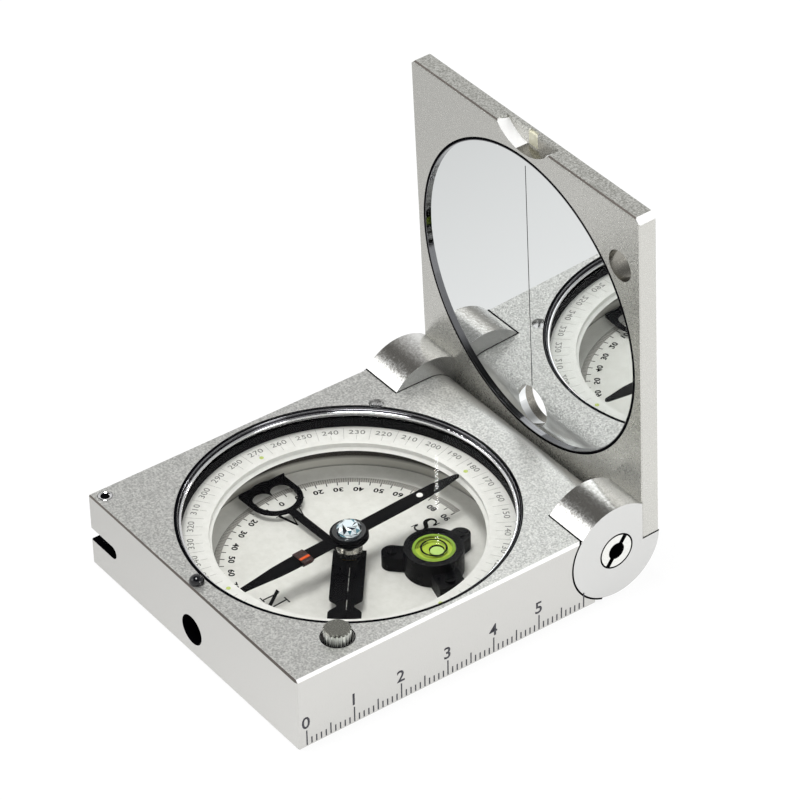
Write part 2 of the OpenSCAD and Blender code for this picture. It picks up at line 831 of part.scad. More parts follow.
// The hanging pointer: a plate with a heart-shaped window whose tip reads the clinometer scale
module clinometer_pointer() {
    color([0.05, 0.05, 0.06]) rotate([0, 0, pointer_az]) translate([0, 0, pointer_z]) difference() {
        union() {
            linear_extrude(pointer_t) difference() {
                pointer_outline();
                pointer_window();
            }
            translate([pointer_len - pointer_t, -pointer_w / 2, 0])
                cube([pointer_t, pointer_w, pointer_t + pointer_lip]);
        }
        translate([0, 0, -cut]) cylinder(r = bush_r, h = pointer_t + 2 * cut);
    }
}

module pointer_outline() {
    translate([pointer_bow, -pointer_w / 2]) square([pointer_len - pointer_bow, pointer_w]);
    translate([pointer_bow, 0]) circle(r = pointer_w / 2);
    translate([0, -pointer_stem]) square([pointer_bow - pointer_w / 2 + 0.3, 2 * pointer_stem]);
    circle(r = pointer_eye);
}

module pointer_window() {
    window_r = pointer_w / 2 - pointer_rim;
    lobe_r = window_r / 2;
    intersection() {
        translate([pointer_bow, 0]) circle(r = window_r);
        translate([0, -window_r]) square([pointer_bow + 0.8, 2 * window_r]);
    }
    for (side = [-1, 1]) translate([pointer_bow + 0.8, side * lobe_r]) circle(r = lobe_r);
}

module clinometer_bush() {
    color("goldenrod") translate([0, 0, bush_z]) difference() {
        union() {
            cylinder(r = bush_flange_r, h = bush_flange);
            cylinder(r = bush_r, h = bush_h);
        }
        translate([0, 0, -cut]) cylinder(r = post_r + running, h = case_h);
    }
}

// One hinge pin on the +X side: a slotted head with a hole, and a shank pressed into the case
module hinge_pin() {
    color("silver") at_hinge() difference() {
        union() {
            bar_x(pin_r, pocket_x - pin_depth, half_w - pin_head_t);
            bar_x(pin_head_r, half_w - pin_head_t, half_w);
        }
        bar_x(pin_hole_r, half_w - pin_hole_depth, half_w + cut);
        rotate([pin_slot_turn, 0, 0])
            translate([half_w - pin_slot_depth, -pin_head_r - cut, -pin_slot_w / 2])
            cube([pin_slot_depth + cut, 2 * (pin_head_r + cut), pin_slot_w]);
    }
}

module hinge_pin_right() { hinge_pin(); }

module hinge_pin_left() { mirror([1, 0, 0]) hinge_pin(); }

module hinge_washers() {
    color("goldenrod") for (side = [0, 1]) mirror([side, 0, 0]) at_hinge() difference() {
        bar_x(washer_r, pocket_x - washer_t + washer_proud, pocket_x + washer_proud);
        bar_x(pin_r + running, 0, half_w);
    }
}

// One knuckle on the +X side: a disc with a notch that the lid stands in
module knuckle() {
    color("gainsboro") in_lid() difference() {
        bar_x(knuckle_r, half_w - knuckle_w, half_w);
        translate([0, lid_face, lid_foot]) cube([case_w, knuckle_r, knuckle_r]);
        bar_x(pin_r + running, 0, half_w + cut);
        bar_x(pin_head_r + running, half_w - pin_head_t - running, half_w + cut);
        lid_screw_shanks();
    }
}

module knuckle_right() { knuckle(); }

module knuckle_left() { mirror([1, 0, 0]) knuckle(); }

// The shanks of the two screws of the +X knuckle
module lid_screw_shanks() {
    for (x = lid_screw_x) translate([x, 0, lid_screw_z])
        bar_y(lid_screw_r, lid_back - lid_screw_len, lid_back);
}

module lid_screw_heads() {
    head_h = lid_screw_head_r - lid_screw_r;
    for (x = lid_screw_x) translate([x, lid_back - head_h, lid_screw_z]) rotate([-90, 0, 0])
        cylinder(r1 = lid_screw_r, r2 = lid_screw_head_r, h = head_h);
}

module lid_screws() {
    color("silver") for (side = [0, 1]) mirror([side, 0, 0]) in_lid() difference() {
        union() {
            lid_screw_shanks();
            lid_screw_heads();
        }
        for (x = lid_screw_x)
            translate([x - lid_screw_head_r, lid_back - lid_slot_depth, lid_screw_z - lid_slot_w / 2])
                cube([2 * lid_screw_head_r, 1, lid_slot_w]);
    }
}

// The mirror's circle, as a disc from the lid's face inwards
module mirror_disc(r, from, to) {
    translate([0, 0, mirror_dist]) bar_y(r, lid_face + from, lid_face + to);
}

module sight_hole() {
    translate([0, 0, sight_dist]) bar_y(sight_r, 0, case_h);
}

module lid_panel() {
    color("gainsboro") in_lid() difference() {
        chamfered([-half_w, lid_face, lid_foot], [half_w, lid_back, lid_len], edge_chamfer);
        mirror_disc(mirror_r, -cut, mirror_depth + mirror_t);
        sight_hole();
        translate([lock_x, 0, knob_hole_z]) bar_y(knob_hole_r, 0, case_h);
        translate([0, 0, scallop_at]) bar_y(scallop_r, 0, lid_face + scallop_depth);
        translate([-strip_w / 2, 0, strip_z]) cube([strip_w, lid_face + scallop_depth + strip_t, lid_len]);
        for (side = [0, 1]) mirror([side, 0, 0]) {
            lid_screw_shanks();
            lid_screw_heads();
        }
    }
}

module mirror_glass() {
    color("lightsteelblue") in_lid() difference() {
        mirror_disc(mirror_r, mirror_depth, mirror_depth + mirror_t);
        sight_hole();
    }
}

module mirror_ring() {
    color("silver") in_lid() difference() {
        mirror_disc(mirror_r, 0, mirror_depth);
        mirror_disc(mirror_r - mirror_ring_w, -cut, mirror_depth + cut);
    }
}

// The pale strip let into the floor of the scallop
module sight_strip() {
    color("beige") in_lid() translate([-strip_w / 2, lid_face + scallop_depth, strip_z])
        cube([strip_w, strip_t, lid_len - strip_z - edge_chamfer]);
}

// The domed bead on the front edge of the case
module sight_bead() {
    color([0.05, 0.05, 0.06]) translate([0, bead_y, case_h]) {
        translate([0, 0, -bead_shank]) cylinder(r = bead_shank_r, h = bead_shank);
        cylinder(r = bead_r, h = bead_h / 2);
        translate([0, 0, bead_h / 2]) dome(bead_r, bead_h / 2);
    }
}

// The strap pin, with its head carried over the top of the case by the given height
module strap_pin_shape(over) {
    translate([-half_w + strap_pin_in, -front_len + strap_pin_in, 0]) {
        translate([0, 0, strap_foot]) cylinder(r = strap_pin_r, h = case_h - strap_foot - strap_head_t);
        translate([0, 0, case_h - strap_head_t]) cylinder(r = strap_head_r, h = strap_head_t + over);
    }
}

module strap_pin() {
    color("silver") strap_pin_shape(0);
}

case_body();
bezel_ring();
retaining_wire();
cover_glass();
glass_seat();
azimuth_ring();
adjuster_screw();
adjuster_gear();
dial_plate();
pivot_post();
level_housing();
level_fluid();
level_glass();
level_screws();
lever_bracket();
lever_pin();
lift_lever();
lift_collar();
lift_pin();
knob_spindle();
lock_knob();
needle_blade();
needle_hub();
jewel_cap();
balance_coil();
clinometer_pointer();
clinometer_bush();
hinge_pin_left();
hinge_pin_right();
hinge_washers();
knuckle_left();
knuckle_right();
lid_panel();
mirror_glass();
mirror_ring();
lid_screws();
sight_strip();
sight_bead();
strap_pin();
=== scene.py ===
"""Geological compass with its mirror lid open: finishes, printed scales and fine detail.

Lengths are in millimetres while a piece is made, and in metres once it is placed.
"""

import math

import bmesh
import bpy
from mathutils import Matrix, Vector


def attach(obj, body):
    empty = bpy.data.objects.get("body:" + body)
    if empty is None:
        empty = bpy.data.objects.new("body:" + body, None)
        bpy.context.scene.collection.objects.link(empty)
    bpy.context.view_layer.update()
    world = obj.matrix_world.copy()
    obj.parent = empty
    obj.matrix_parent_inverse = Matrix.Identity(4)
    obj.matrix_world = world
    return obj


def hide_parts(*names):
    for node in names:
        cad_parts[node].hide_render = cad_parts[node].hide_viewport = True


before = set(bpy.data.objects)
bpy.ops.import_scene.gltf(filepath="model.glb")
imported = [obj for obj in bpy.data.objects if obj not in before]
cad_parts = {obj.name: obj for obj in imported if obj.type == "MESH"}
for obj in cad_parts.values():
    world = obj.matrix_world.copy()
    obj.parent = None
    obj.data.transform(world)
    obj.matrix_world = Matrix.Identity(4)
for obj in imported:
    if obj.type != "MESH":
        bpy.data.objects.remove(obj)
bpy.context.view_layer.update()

MM = 0.001

# The thickness of ink, the soft light of the room, and how much the coated glass reflects
INK = 0.02
AMBIENT = 0.5
COATING = 0.16

# Sizes shared with the solids, in millimetres
CASE_HALF_W = 32.1
CASE_TOP = 15.5
FRONT_Y = -34.0
EDGE = 0.5
BEZEL_R = 30.75
BOWL_R = 29.0
RING_FACE = 11.4
RING_ZERO = 1.2
DIAL_FACE = 3.6
LEVEL_AZIMUTH = 46.6
LEVEL_DIST = 15.1
LEVEL_TOP = 8.5
LUG_TOP = 6.0
NEEDLE_Z = 10.35
NEEDLE_DIP = 2.8
NEEDLE_TURN = 0.7
DOT_AT = 15.75
CUP_TOP = 0.45
LEVER_AZIMUTH = -39.0
LEVER_TOP = 7.2
KNOB_AT = (26.7, -21.6)
KNOB_R = 3.0
SOCKET_R = 3.0
SOCKET_Z = 5.5
STRAP_SLOT = (8.4, 5.1, 5.3, 8.2)
HINGE_Y = 35.0
HINGE_Z = 9.65
KNUCKLE_R = 9.65
KNUCKLE_W = 9.35
PIN_HEAD_R = 3.5
LID_LEAN = 1.9
LID_FACE = 5.95
LID_BACK = 9.65
LID_LEN = 69.0
LID_FOOT = 0.45
MIRROR_DIST = 34.65
MIRROR_FACE = 6.55
MIRROR_R = 30.3

# Finer forms than the solids', in millimetres
FINE_EDGE = 0.25
LID_CORNER = 1.1
FOOT_DROP = 0.75
FOOT_ROOM = 0.4
FOOT_ROOM_TOP = 3.95
LUG_RISE = 0.6
LEVEL_RIM = (3.35, 3.85)
LEVEL_RING = (2.12, 2.46)
BUBBLE_AT = (0.95, -0.05)
BUBBLE_R = 1.3
WIRE_R = 0.16
WINDING_HALF_W = 1.72
WINDING_HALF_H = 0.36
WINDING_START = -9.15
WINDING_LENGTH = 2.1
DOT_R = 0.58
JEWEL_SCALE = 1.12
PIN_NECK = 14.15
PIN_TOP = 15.55
PIN_DISH = 15.0
BEAD_AT = (0, -32.4)
BEAD_R = 1.35
BEAD_WAIST = 15.75
BEAD_RISE = 1.15
POCKET_Y = 27.2
KNUCKLE_GAP = 0.15
SHADE_SINK = 0.01
SHADE_RISE = 0.012

# Printed scales, in millimetres
FIGURE_STRETCH = 1.2
RING_LINE_R = 27.8
RING_TICK_R = 26.7
RING_DOT_R = 26.35
RING_FIGURE_R = 28.2
RING_FIGURE_H = 1.18
BAND_R = 23.97
BAND_TICK_R = 22.95
BAND_FIGURE_R = 21.25
BAND_FIGURE_H = 1.1
RULER_START = -32.3
RULER_TICKS = (3.75, 2.9, 1.9)
RULER_TICK_START = 0.5
RULER_FIGURE_H = 2.5


# Finishes


def finish(name, colour, metallic=0.0, roughness=0.5, **sockets):
    """A material with these values on its shader."""
    material = bpy.data.materials.new(name)
    material.use_nodes = True
    shader = material.node_tree.nodes["Principled BSDF"]
    shader.inputs["Base Color"].default_value = (*colour, 1)
    shader.inputs["Metallic"].default_value = metallic
    shader.inputs["Roughness"].default_value = roughness
    for socket, value in sockets.items():
        shader.inputs[socket.replace("_", " ")].default_value = value
    return material


def add_node(owner, kind, **values):
    """A new node of a material or of the world, with these inputs or settings."""
    node = owner.node_tree.nodes.new(kind)
    for key, value in values.items():
        if key in node.inputs:
            node.inputs[key].default_value = value
        else:
            setattr(node, key, value)
    return node


def link(owner, start, end):
    owner.node_tree.links.new(start, end)


def object_place(material, stretch=(1, 1, 1)):
    """Object coordinates, stretched along the axes."""
    place = add_node(material, "ShaderNodeTexCoord")
    mapping = add_node(material, "ShaderNodeMapping", Scale=stretch)
    link(material, place.outputs["Object"], mapping.inputs["Vector"])
    return mapping.outputs["Vector"]


def speckle(material, scale, detail=3.0, stretch=(1, 1, 1)):
    """Noise on Object coordinates. The scale is in features for each metre."""
    noise = add_node(material, "ShaderNodeTexNoise", Scale=scale, Detail=detail)
    link(material, object_place(material, stretch), noise.inputs["Vector"])
    return noise.outputs["Fac"]


def between(material, factor, low, high, start=0.35, end=0.65):
    """A value that goes from low to high as the factor goes from start to end."""
    remap = add_node(material, "ShaderNodeMapRange")
    for socket, value in zip(("From Min", "From Max", "To Min", "To Max"), (start, end, low, high)):
        remap.inputs[socket].default_value = value
    link(material, factor, remap.inputs["Value"])
    return remap.outputs["Result"]


def colour_between(material, factor, first, second):
    mix = add_node(material, "ShaderNodeMix", data_type="RGBA")
    mix.inputs[6].default_value = (*first, 1)
    mix.inputs[7].default_value = (*second, 1)
    link(material, factor, mix.inputs[0])
    return mix.outputs[2]


def shader_of(material):
    return material.node_tree.nodes["Principled BSDF"]


def set_colour(material, colour):
    link(material, colour, shader_of(material).inputs["Base Color"])


def set_roughness(material, factor, low, high, start=0.35, end=0.65):
    rough = between(material, factor, low, high, start, end)
    link(material, rough, shader_of(material).inputs["Roughness"])


def coordinate(material, axis):
    """One of the Object coordinates, in metres."""
    parts = add_node(material, "ShaderNodeSeparateXYZ")
    link(material, object_place(material), parts.inputs[0])
    return parts.outputs[axis]


def combined(owner, operation, *values):
    """The result of a sum. Each value is a number or another node's output."""
    node = add_node(owner, "ShaderNodeMath", operation=operation)
    for socket, value in zip(node.inputs, values):
        if isinstance(value, (int, float)):
            socket.default_value = value
        else:
            link(owner, value, socket)
    return node.outputs[0]


def relief(material, factor, depth, strength=1.0, edge=0.0):
    """Bump from the factor, with the edges of the piece rounded off in the shading."""
    bump = add_node(material, "ShaderNodeBump", Strength=strength, Distance=depth)
    link(material, factor, bump.inputs["Height"])
    if edge:
        bevel = add_node(material, "ShaderNodeBevel", samples=4, Radius=edge)
        link(material, bevel.outputs["Normal"], bump.inputs["Normal"])
    link(material, bump.outputs["Normal"], shader_of(material).inputs["Normal"])


def blasted_aluminium(name, dark, light, side, roughness, grained_above):
    """Bead-blasted and anodised aluminium: small dimples catch the light one by one above a height."""
    material = finish(name, light, metallic=0.85, roughness=roughness)
    grain = speckle(material, 3000, 3.0)
    height = coordinate(material, "Z")
    plain = between(material, height, 1, 0, (grained_above - 0.2) * MM, grained_above * MM)
    mottled = colour_between(material, between(material, grain, 0, 1, 0.34, 0.66), dark, light)
    mix = add_node(material, "ShaderNodeMix", data_type="RGBA")
    mix.inputs[7].default_value = (*side, 1)
    link(material, plain, mix.inputs[0])
    link(material, mottled, mix.inputs[6])
    set_colour(material, mix.outputs[2])
    set_roughness(material, grain, roughness - 0.04, roughness + 0.05)
    dimples = combined(material, "MAXIMUM", grain, between(material, plain, 0, 0.56, 0, 1))
    relief(material, dimples, 0.0001, 0.8, edge=0.00006)
    return material


def knuckle_metal():
    """The knuckles' turned barrel with a painted reflection: pale in front and at the back, and a darker
    band on top.
    """
    material = finish("knuckle_metal", (0.7, 0.7, 0.68), metallic=0.85, roughness=0.22)
    grain = speckle(material, 2200, 3.0)
    # Painted reflection: the colour is darker across a band over the top of the barrel, set by the Y
    # coordinate.
    shifted = combined(material, "MULTIPLY_ADD", grain, 6 * MM, coordinate(material, "Y"))
    rise = between(material, shifted, 0, 1, 31.5 * MM, 34 * MM)
    fall = between(material, shifted, 1, 0, 35.5 * MM, 40.5 * MM)
    band = combined(material, "MULTIPLY", rise, fall)
    set_colour(material, colour_between(material, band, (0.78, 0.78, 0.76), (0.27, 0.26, 0.24)))
    relief(material, grain, 0.00003, 0.5, edge=0.00006)
    return material


def bowl_metal():
    """The bowl's wall: in the ring's shadow at the top, and lit by the dial lower down."""
    material = finish("bowl_metal", (0.6, 0.6, 0.57), metallic=0.3, roughness=0.4)
    depth = between(material, coordinate(material, "Z"), 0, 1, 5.1 * MM, 5.9 * MM)
    set_colour(material, colour_between(material, depth, (0.66, 0.65, 0.61), (0.035, 0.03, 0.026)))
    return material


def polished_chrome(name="polished_chrome", tone=0.8):
    material = finish(name, (tone, tone, tone + 0.01), metallic=1.0, roughness=0.06)
    haze = speckle(material, 900, 3.0)
    set_roughness(material, haze, 0.03, 0.1)
    relief(material, haze, 0.000002, 0.1, edge=0.00005)
    return material


def turned_steel(name, colour, roughness=0.24):
    """Steel with fine tool marks."""
    material = finish(name, colour, metallic=1.0, roughness=roughness)
    marks = speckle(material, 3500, 4.0, (1, 1, 5))
    set_roughness(material, marks, roughness - 0.08, roughness + 0.12)
    dull = tuple(0.8 * c for c in colour)
    set_colour(material, colour_between(material, between(material, marks, 0, 1), dull, colour))
    relief(material, marks, 0.000006, 0.3, edge=0.00006)
    return material


def black_enamel(name="black_enamel", gloss=0.32):
    material = finish(name, (0.002, 0.002, 0.003), roughness=gloss, Specular_IOR_Level=0.05)
    orange_peel = speckle(material, 1400, 3.0)
    set_roughness(material, orange_peel, gloss - 0.06, gloss + 0.12)
    relief(material, orange_peel, 0.00002, 0.4, edge=0.0001)
    return material


def dial_paint(name, low, high, roughness=0.45):
    material = finish(name, high, roughness=roughness)
    mottle = speckle(material, 700, 4.0)
    set_colour(material, colour_between(material, between(material, mottle, 0, 1), low, high))
    relief(material, speckle(material, 2600, 2.0), 0.00001, 0.3)
    return material


def printing_ink(name, colour):
    material = finish(name, colour, roughness=0.5)
    wear = speckle(material, 5000, 3.0)
    pale = tuple(min(1, c * 1.5 + 0.02) for c in colour)
    set_colour(material, colour_between(material, between(material, wear, 0, 1, 0.45, 0.8), colour, pale))
    return material


def thin_glass(name, tint):
    """Flat bloomed glass that is looked straight through, with faint reflections on its outer faces."""
    material = bpy.data.materials.new(name)
    material.use_nodes = True
    tree = material.node_tree
    tree.nodes.remove(tree.nodes["Principled BSDF"])
    clear = add_node(material, "ShaderNodeBsdfTransparent")
    clear.inputs["Color"].default_value = (*tint, 1)
    gloss = add_node(material, "ShaderNodeBsdfGlossy", Roughness=0.02)
    facing = add_node(material, "ShaderNodeFresnel", IOR=1.45)
    smear = speckle(material, 90, 2.0)
    link(material, between(material, smear, 0.01, 0.04), gloss.inputs["Roughness"])
    side = add_node(material, "ShaderNodeNewGeometry")
    front = combined(material, "SUBTRACT", 1, side.outputs["Backfacing"])
    bloom = combined(material, "MULTIPLY", front, COATING)
    shine = combined(material, "MULTIPLY", facing.outputs[0], bloom)
    mix = add_node(material, "ShaderNodeMixShader")
    link(material, shine, mix.inputs[0])
    link(material, clear.outputs[0], mix.inputs[1])
    link(material, gloss.outputs[0], mix.inputs[2])
    link(material, mix.outputs[0], tree.nodes["Material Output"].inputs["Surface"])
    return material


def mirror_silver():
    material = finish("mirror_silver", (0.8, 0.82, 0.82), metallic=1.0, roughness=0.0)
    dust = speckle(material, 2500, 4.0)
    set_roughness(material, dust, 0.0, 0.035, 0.55, 0.85)
    return material


ALUMINIUM = blasted_aluminium(
    "blasted_case", (0.42, 0.42, 0.405), (0.76, 0.76, 0.73), (0.585, 0.58, 0.56), 0.32, 15.3
)
LID_ALUMINIUM = blasted_aluminium(
    "blasted_lid", (0.36, 0.36, 0.33), (0.68, 0.68, 0.645), (0.565, 0.56, 0.53), 0.28, 78.2
)
KNUCKLE_ALUMINIUM = knuckle_metal()
FACED_ALUMINIUM = finish("faced_aluminium", (0.62, 0.62, 0.61), metallic=0.85, roughness=0.25)
# A painted dark reflection on the front top chamfers of the case and the lid.
EDGE_PAINTED_DARK = finish("edge_painted_dark", (0.11, 0.095, 0.085), metallic=0.5, roughness=0.4)
# A painted highlight on the ruler's top chamfer, the lid's cut corners and the left wall of the lid's
# notch.
EDGE_PAINTED_HIGHLIGHT = finish("edge_painted_highlight", (0.97, 0.97, 0.96), metallic=0.2, roughness=0.45)
# Turned steel with tool marks, darkened as painted shade on the lid's inner walls.
BORE_WALL_SHADE = turned_steel("bore_wall_painted_shade", (0.3, 0.29, 0.26), 0.16)
BOWL_METAL = bowl_metal()
# Black painted shade, for hollows, slots, gaps and seams.
SHADE = finish("painted_shade", (0.003, 0.003, 0.004), roughness=0.9, Specular_IOR_Level=0.0)
CHROME = polished_chrome()
# Chrome toned down to 0.2 as a painted dark reflection, on the bezel and the mirror's ring.
CHROME_PAINTED_DARK = polished_chrome("chrome_painted_dark", 0.2)
STEEL = turned_steel("turned_steel", (0.62, 0.62, 0.62))
BRIGHT_STEEL = turned_steel("bright_steel", (0.86, 0.86, 0.83), 0.3)
NICKEL = turned_steel("nickel_plate", (0.72, 0.71, 0.67), 0.18)
KNURLED_NICKEL = finish("knurled_nickel", (0.88, 0.9, 0.85), metallic=0.55, roughness=0.16)
KNOB_TOP = turned_steel("knob_top", (0.26, 0.26, 0.23), 0.2)
BRASS = turned_steel("turned_brass", (0.6, 0.42, 0.16), 0.3)
BLACK = black_enamel()
NEEDLE_BLACK = black_enamel("needle_black", 0.4)
GLOSS_BLACK = finish("gloss_black", (0.003, 0.003, 0.005), roughness=0.12, Specular_IOR_Level=0.5)
GASKET = finish("black_gasket", (0.003, 0.003, 0.004), roughness=0.8, Specular_IOR_Level=0.1)
DIAL_WHITE = dial_paint("dial_white", (0.8, 0.8, 0.77), (0.86, 0.86, 0.835))
RING_WHITE = dial_paint("ring_white", (0.82, 0.82, 0.8), (0.88, 0.88, 0.865), 0.35)
# Black for print, and as painted shade on the level bubble's edge.
BLACK_INK_AND_SHADE = finish("black_ink_and_shade", (0.004, 0.004, 0.005), roughness=0.6, Specular_IOR_Level=0.1)
RING_INK = printing_ink("ring_ink", (0.19, 0.19, 0.185))
RING_LINE_INK = printing_ink("ring_line_ink", (0.42, 0.42, 0.41))
RULER_INK = printing_ink("ruler_ink", (0.018, 0.018, 0.028))
BAND_INK = printing_ink("band_ink", (0.42, 0.41, 0.39))
LIME_INK = printing_ink("lime_ink", (0.5, 0.6, 0.16))
WHITE_ENAMEL = finish("white_enamel", (0.95, 0.95, 0.93), roughness=0.35)
COVER_GLASS = thin_glass("cover_glass", (0.985, 0.985, 0.975))
LEVEL_GLASS = thin_glass("level_glass", (0.985, 0.99, 0.97))
MIRROR = mirror_silver()
GREEN_LIQUID = finish("green_liquid", (0.5, 0.68, 0.06), roughness=0.5, Specular_IOR_Level=0.2)
GREEN_RIM = finish("green_rim", (0.24, 0.4, 0.04), roughness=0.5, Specular_IOR_Level=0.2)
PALE_BUBBLE = finish("pale_bubble", (0.5, 0.72, 0.2), roughness=0.5, Specular_IOR_Level=0.2)
CREAM = dial_paint("cream_strip", (0.74, 0.72, 0.55), (0.86, 0.84, 0.68))
MAROON_WIRE = finish("maroon_wire", (0.028, 0.002, 0.001), roughness=0.3, Coat_Weight=0.2)
# A painted highlight on the needle's winding.
ORANGE_HIGHLIGHT = finish("painted_orange_highlight", (0.75, 0.1, 0.012), roughness=0.2, Coat_Weight=0.3)
GLASS_FLANGE = finish("glass_flange", (0.02, 0.022, 0.026), roughness=0.06, Coat_Weight=1.0)
JEWEL = finish("foiled_jewel", (0.86, 0.93, 0.97), metallic=1.0, roughness=0.03)
# Painted reflections on the jewel's facets.
FACET_PAINTED_GLINT = finish("facet_painted_glint", (0.8, 0.9, 0.98), roughness=0.05, Coat_Weight=0.5)
FACET_PAINTED_TEAL = finish("facet_painted_teal", (0.12, 0.3, 0.38), metallic=0.4, roughness=0.05)
FACET_PAINTED_DARK = finish("facet_painted_dark", (0.01, 0.015, 0.03), roughness=0.05)

NODE_FINISH = {
    "case_body": ALUMINIUM, "bezel_ring": CHROME_PAINTED_DARK, "retaining_wire": CHROME,
    "cover_glass": COVER_GLASS, "glass_seat": GASKET, "azimuth_ring": RING_WHITE,
    "adjuster_screw": STEEL, "adjuster_gear": BRASS, "dial_plate": DIAL_WHITE, "pivot_post": STEEL,
    "level_housing": BLACK, "level_fluid": GREEN_LIQUID, "level_glass": LEVEL_GLASS,
    "level_screws": BLACK, "lever_bracket": STEEL, "lever_pin": STEEL, "lift_lever": BLACK,
    "lift_collar": NICKEL, "lift_pin": STEEL, "knob_spindle": STEEL, "lock_knob": KNURLED_NICKEL,
    "needle_blade": NEEDLE_BLACK, "needle_hub": NEEDLE_BLACK, "jewel_cap": JEWEL,
    "balance_coil": MAROON_WIRE, "clinometer_pointer": BLACK, "clinometer_bush": BRASS,
    "hinge_pin_left": BRIGHT_STEEL, "hinge_pin_right": BRIGHT_STEEL, "hinge_washers": BRASS,
    "knuckle_left": KNUCKLE_ALUMINIUM, "knuckle_right": KNUCKLE_ALUMINIUM, "lid_panel": LID_ALUMINIUM,
    "mirror_glass": MIRROR, "mirror_ring": CHROME_PAINTED_DARK, "lid_screws": STEEL, "sight_strip": CREAM,
    "sight_bead": BLACK, "strap_pin": STEEL,
}


# Making pieces


def new_piece(name, bm, material, body, replaces=()):
    """Makes the piece from a mesh in millimetres, and lets it ride on its body."""
    bmesh.ops.scale(bm, vec=(MM, MM, MM), verts=bm.verts)
    mesh = bpy.data.meshes.new(name)
    bm.to_mesh(mesh)
    bm.free()
    piece = bpy.data.objects.new(name, mesh)
    bpy.context.scene.collection.objects.link(piece)
    mesh.materials.append(material)
    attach(piece, body)
    if replaces:
        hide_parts(*replaces)
    return piece


def more_finishes(piece, *materials):
    """Adds the finishes that the piece's faces name after the first."""
    for material in materials:
        piece.data.materials.append(material)


def smooth(piece, angle=35):
    """Shades the piece smooth, and keeps the edges that are sharper than the angle."""
    mesh = piece.data
    mesh.polygons.foreach_set("use_smooth", [True] * len(mesh.polygons))
    bm = bmesh.new()
    bm.from_mesh(mesh)
    for edge in bm.edges:
        edge.smooth = len(edge.link_faces) == 2 and edge.calc_face_angle(0) < math.radians(angle)
    bm.to_mesh(mesh)
    bm.free()
    return piece


def turned(angle, axis="Z"):
    return Matrix.Rotation(math.radians(angle), 4, axis)


def moved(x, y, z):
    return Matrix.Translation((x, y, z))


def wider(stretch):
    return Matrix.Diagonal((stretch, 1, 1, 1))


def at_azimuth(angle, radius, z):
    """X points outwards from the dial's centre, anticlockwise from +X by the angle."""
    return turned(angle) @ moved(radius, 0, z)


def in_lid():
    """X across the lid, Z up along it, and Y into it, from the hinge axis."""
    return moved(0, HINGE_Y, HINGE_Z) @ turned(LID_LEAN, "X")


def on_needle():
    return moved(0, 0, NEEDLE_Z) @ turned(NEEDLE_TURN) @ turned(NEEDLE_DIP, "X")


def at_level():
    return at_azimuth(LEVEL_AZIMUTH, LEVEL_DIST, 0) @ turned(-LEVEL_AZIMUTH)


def bar(bm, size, place):
    """A block of this size, centred on the place."""
    bmesh.ops.create_cube(bm, size=1, matrix=place @ Matrix.Diagonal((*size, 1)))


def disc(bm, radius, height, place, sides=32):
    """A disc that stands on the place."""
    bmesh.ops.create_cone(
        bm, cap_ends=True, segments=sides, radius1=radius, radius2=radius, depth=height,
        matrix=place @ moved(0, 0, height / 2),
    )


def spun(bm, outline, place=Matrix.Identity(4), steps=64):
    """Adds a ring or a turned piece from a closed outline of (radius, height) points."""
    ring = bmesh.new()
    verts = [ring.verts.new((r, 0, z)) for r, z in outline]
    edges = [ring.edges.new((a, b)) for a, b in zip(verts, verts[1:] + verts[:1])]
    bmesh.ops.spin(
        ring, geom=verts + edges, cent=(0, 0, 0), axis=(0, 0, 1), dvec=(0, 0, 0),
        angle=math.tau, steps=steps, use_merge=True, use_duplicate=False,
    )
    bmesh.ops.remove_doubles(ring, verts=ring.verts, dist=0.0005)
    bmesh.ops.recalc_face_normals(ring, faces=ring.faces)
    add_mesh(bm, ring, place)


def add_mesh(bm, part, place):
    """Adds the part to the mesh at the place, and frees it."""
    bmesh.ops.transform(part, matrix=place, verts=part.verts)
    mesh = bpy.data.meshes.new("part")
    part.to_mesh(mesh)
    part.free()
    bm.from_mesh(mesh)
    bpy.data.meshes.remove(mesh)


def stamp(bm, words, height, place, bold=0.0):
    """Figures that stand on the place, centred on it, with their tops towards +Y."""
    curve = bpy.data.curves.new("figures", "FONT")
    curve.body = words
    curve.resolution_u = 3
    curve.offset = bold
    curve.space_character = 1.05
    carrier = bpy.data.objects.new("figures", curve)
    mesh = bpy.data.meshes.new_from_object(carrier)
    bpy.data.objects.remove(carrier)
    bpy.data.curves.remove(curve)
    low = Vector((min(v.co[i] for v in mesh.vertices) for i in range(3)))
    high = Vector((max(v.co[i] for v in mesh.vertices) for i in range(3)))
    centre = (low + high) / 2
    size = height / 0.7
    mesh.transform(place @ Matrix.Diagonal((size, size, 1, 1)) @ moved(-centre.x, -centre.y, 0))
    raise_ink(bm, mesh, place)
    bpy.data.meshes.remove(mesh)


def raise_ink(bm, mesh, place):
    """Adds a flat outline to the mesh and gives it the thickness of ink."""
    before = len(bm.faces)
    bm.from_mesh(mesh)
    bm.faces.ensure_lookup_table()
    faces = bm.faces[before:]
    made = bmesh.ops.extrude_face_region(bm, geom=faces, use_keep_orig=True)
    tops = [v for v in made["geom"] if isinstance(v, bmesh.types.BMVert)]
    outward = (place.to_3x3() @ Vector((0, 0, 1))).normalized()
    bmesh.ops.translate(bm, vec=outward * INK, verts=tops)
    every = {f for v in tops for f in v.link_faces} | set(faces)
    bmesh.ops.recalc_face_normals(bm, faces=list(every))


# Printed scales


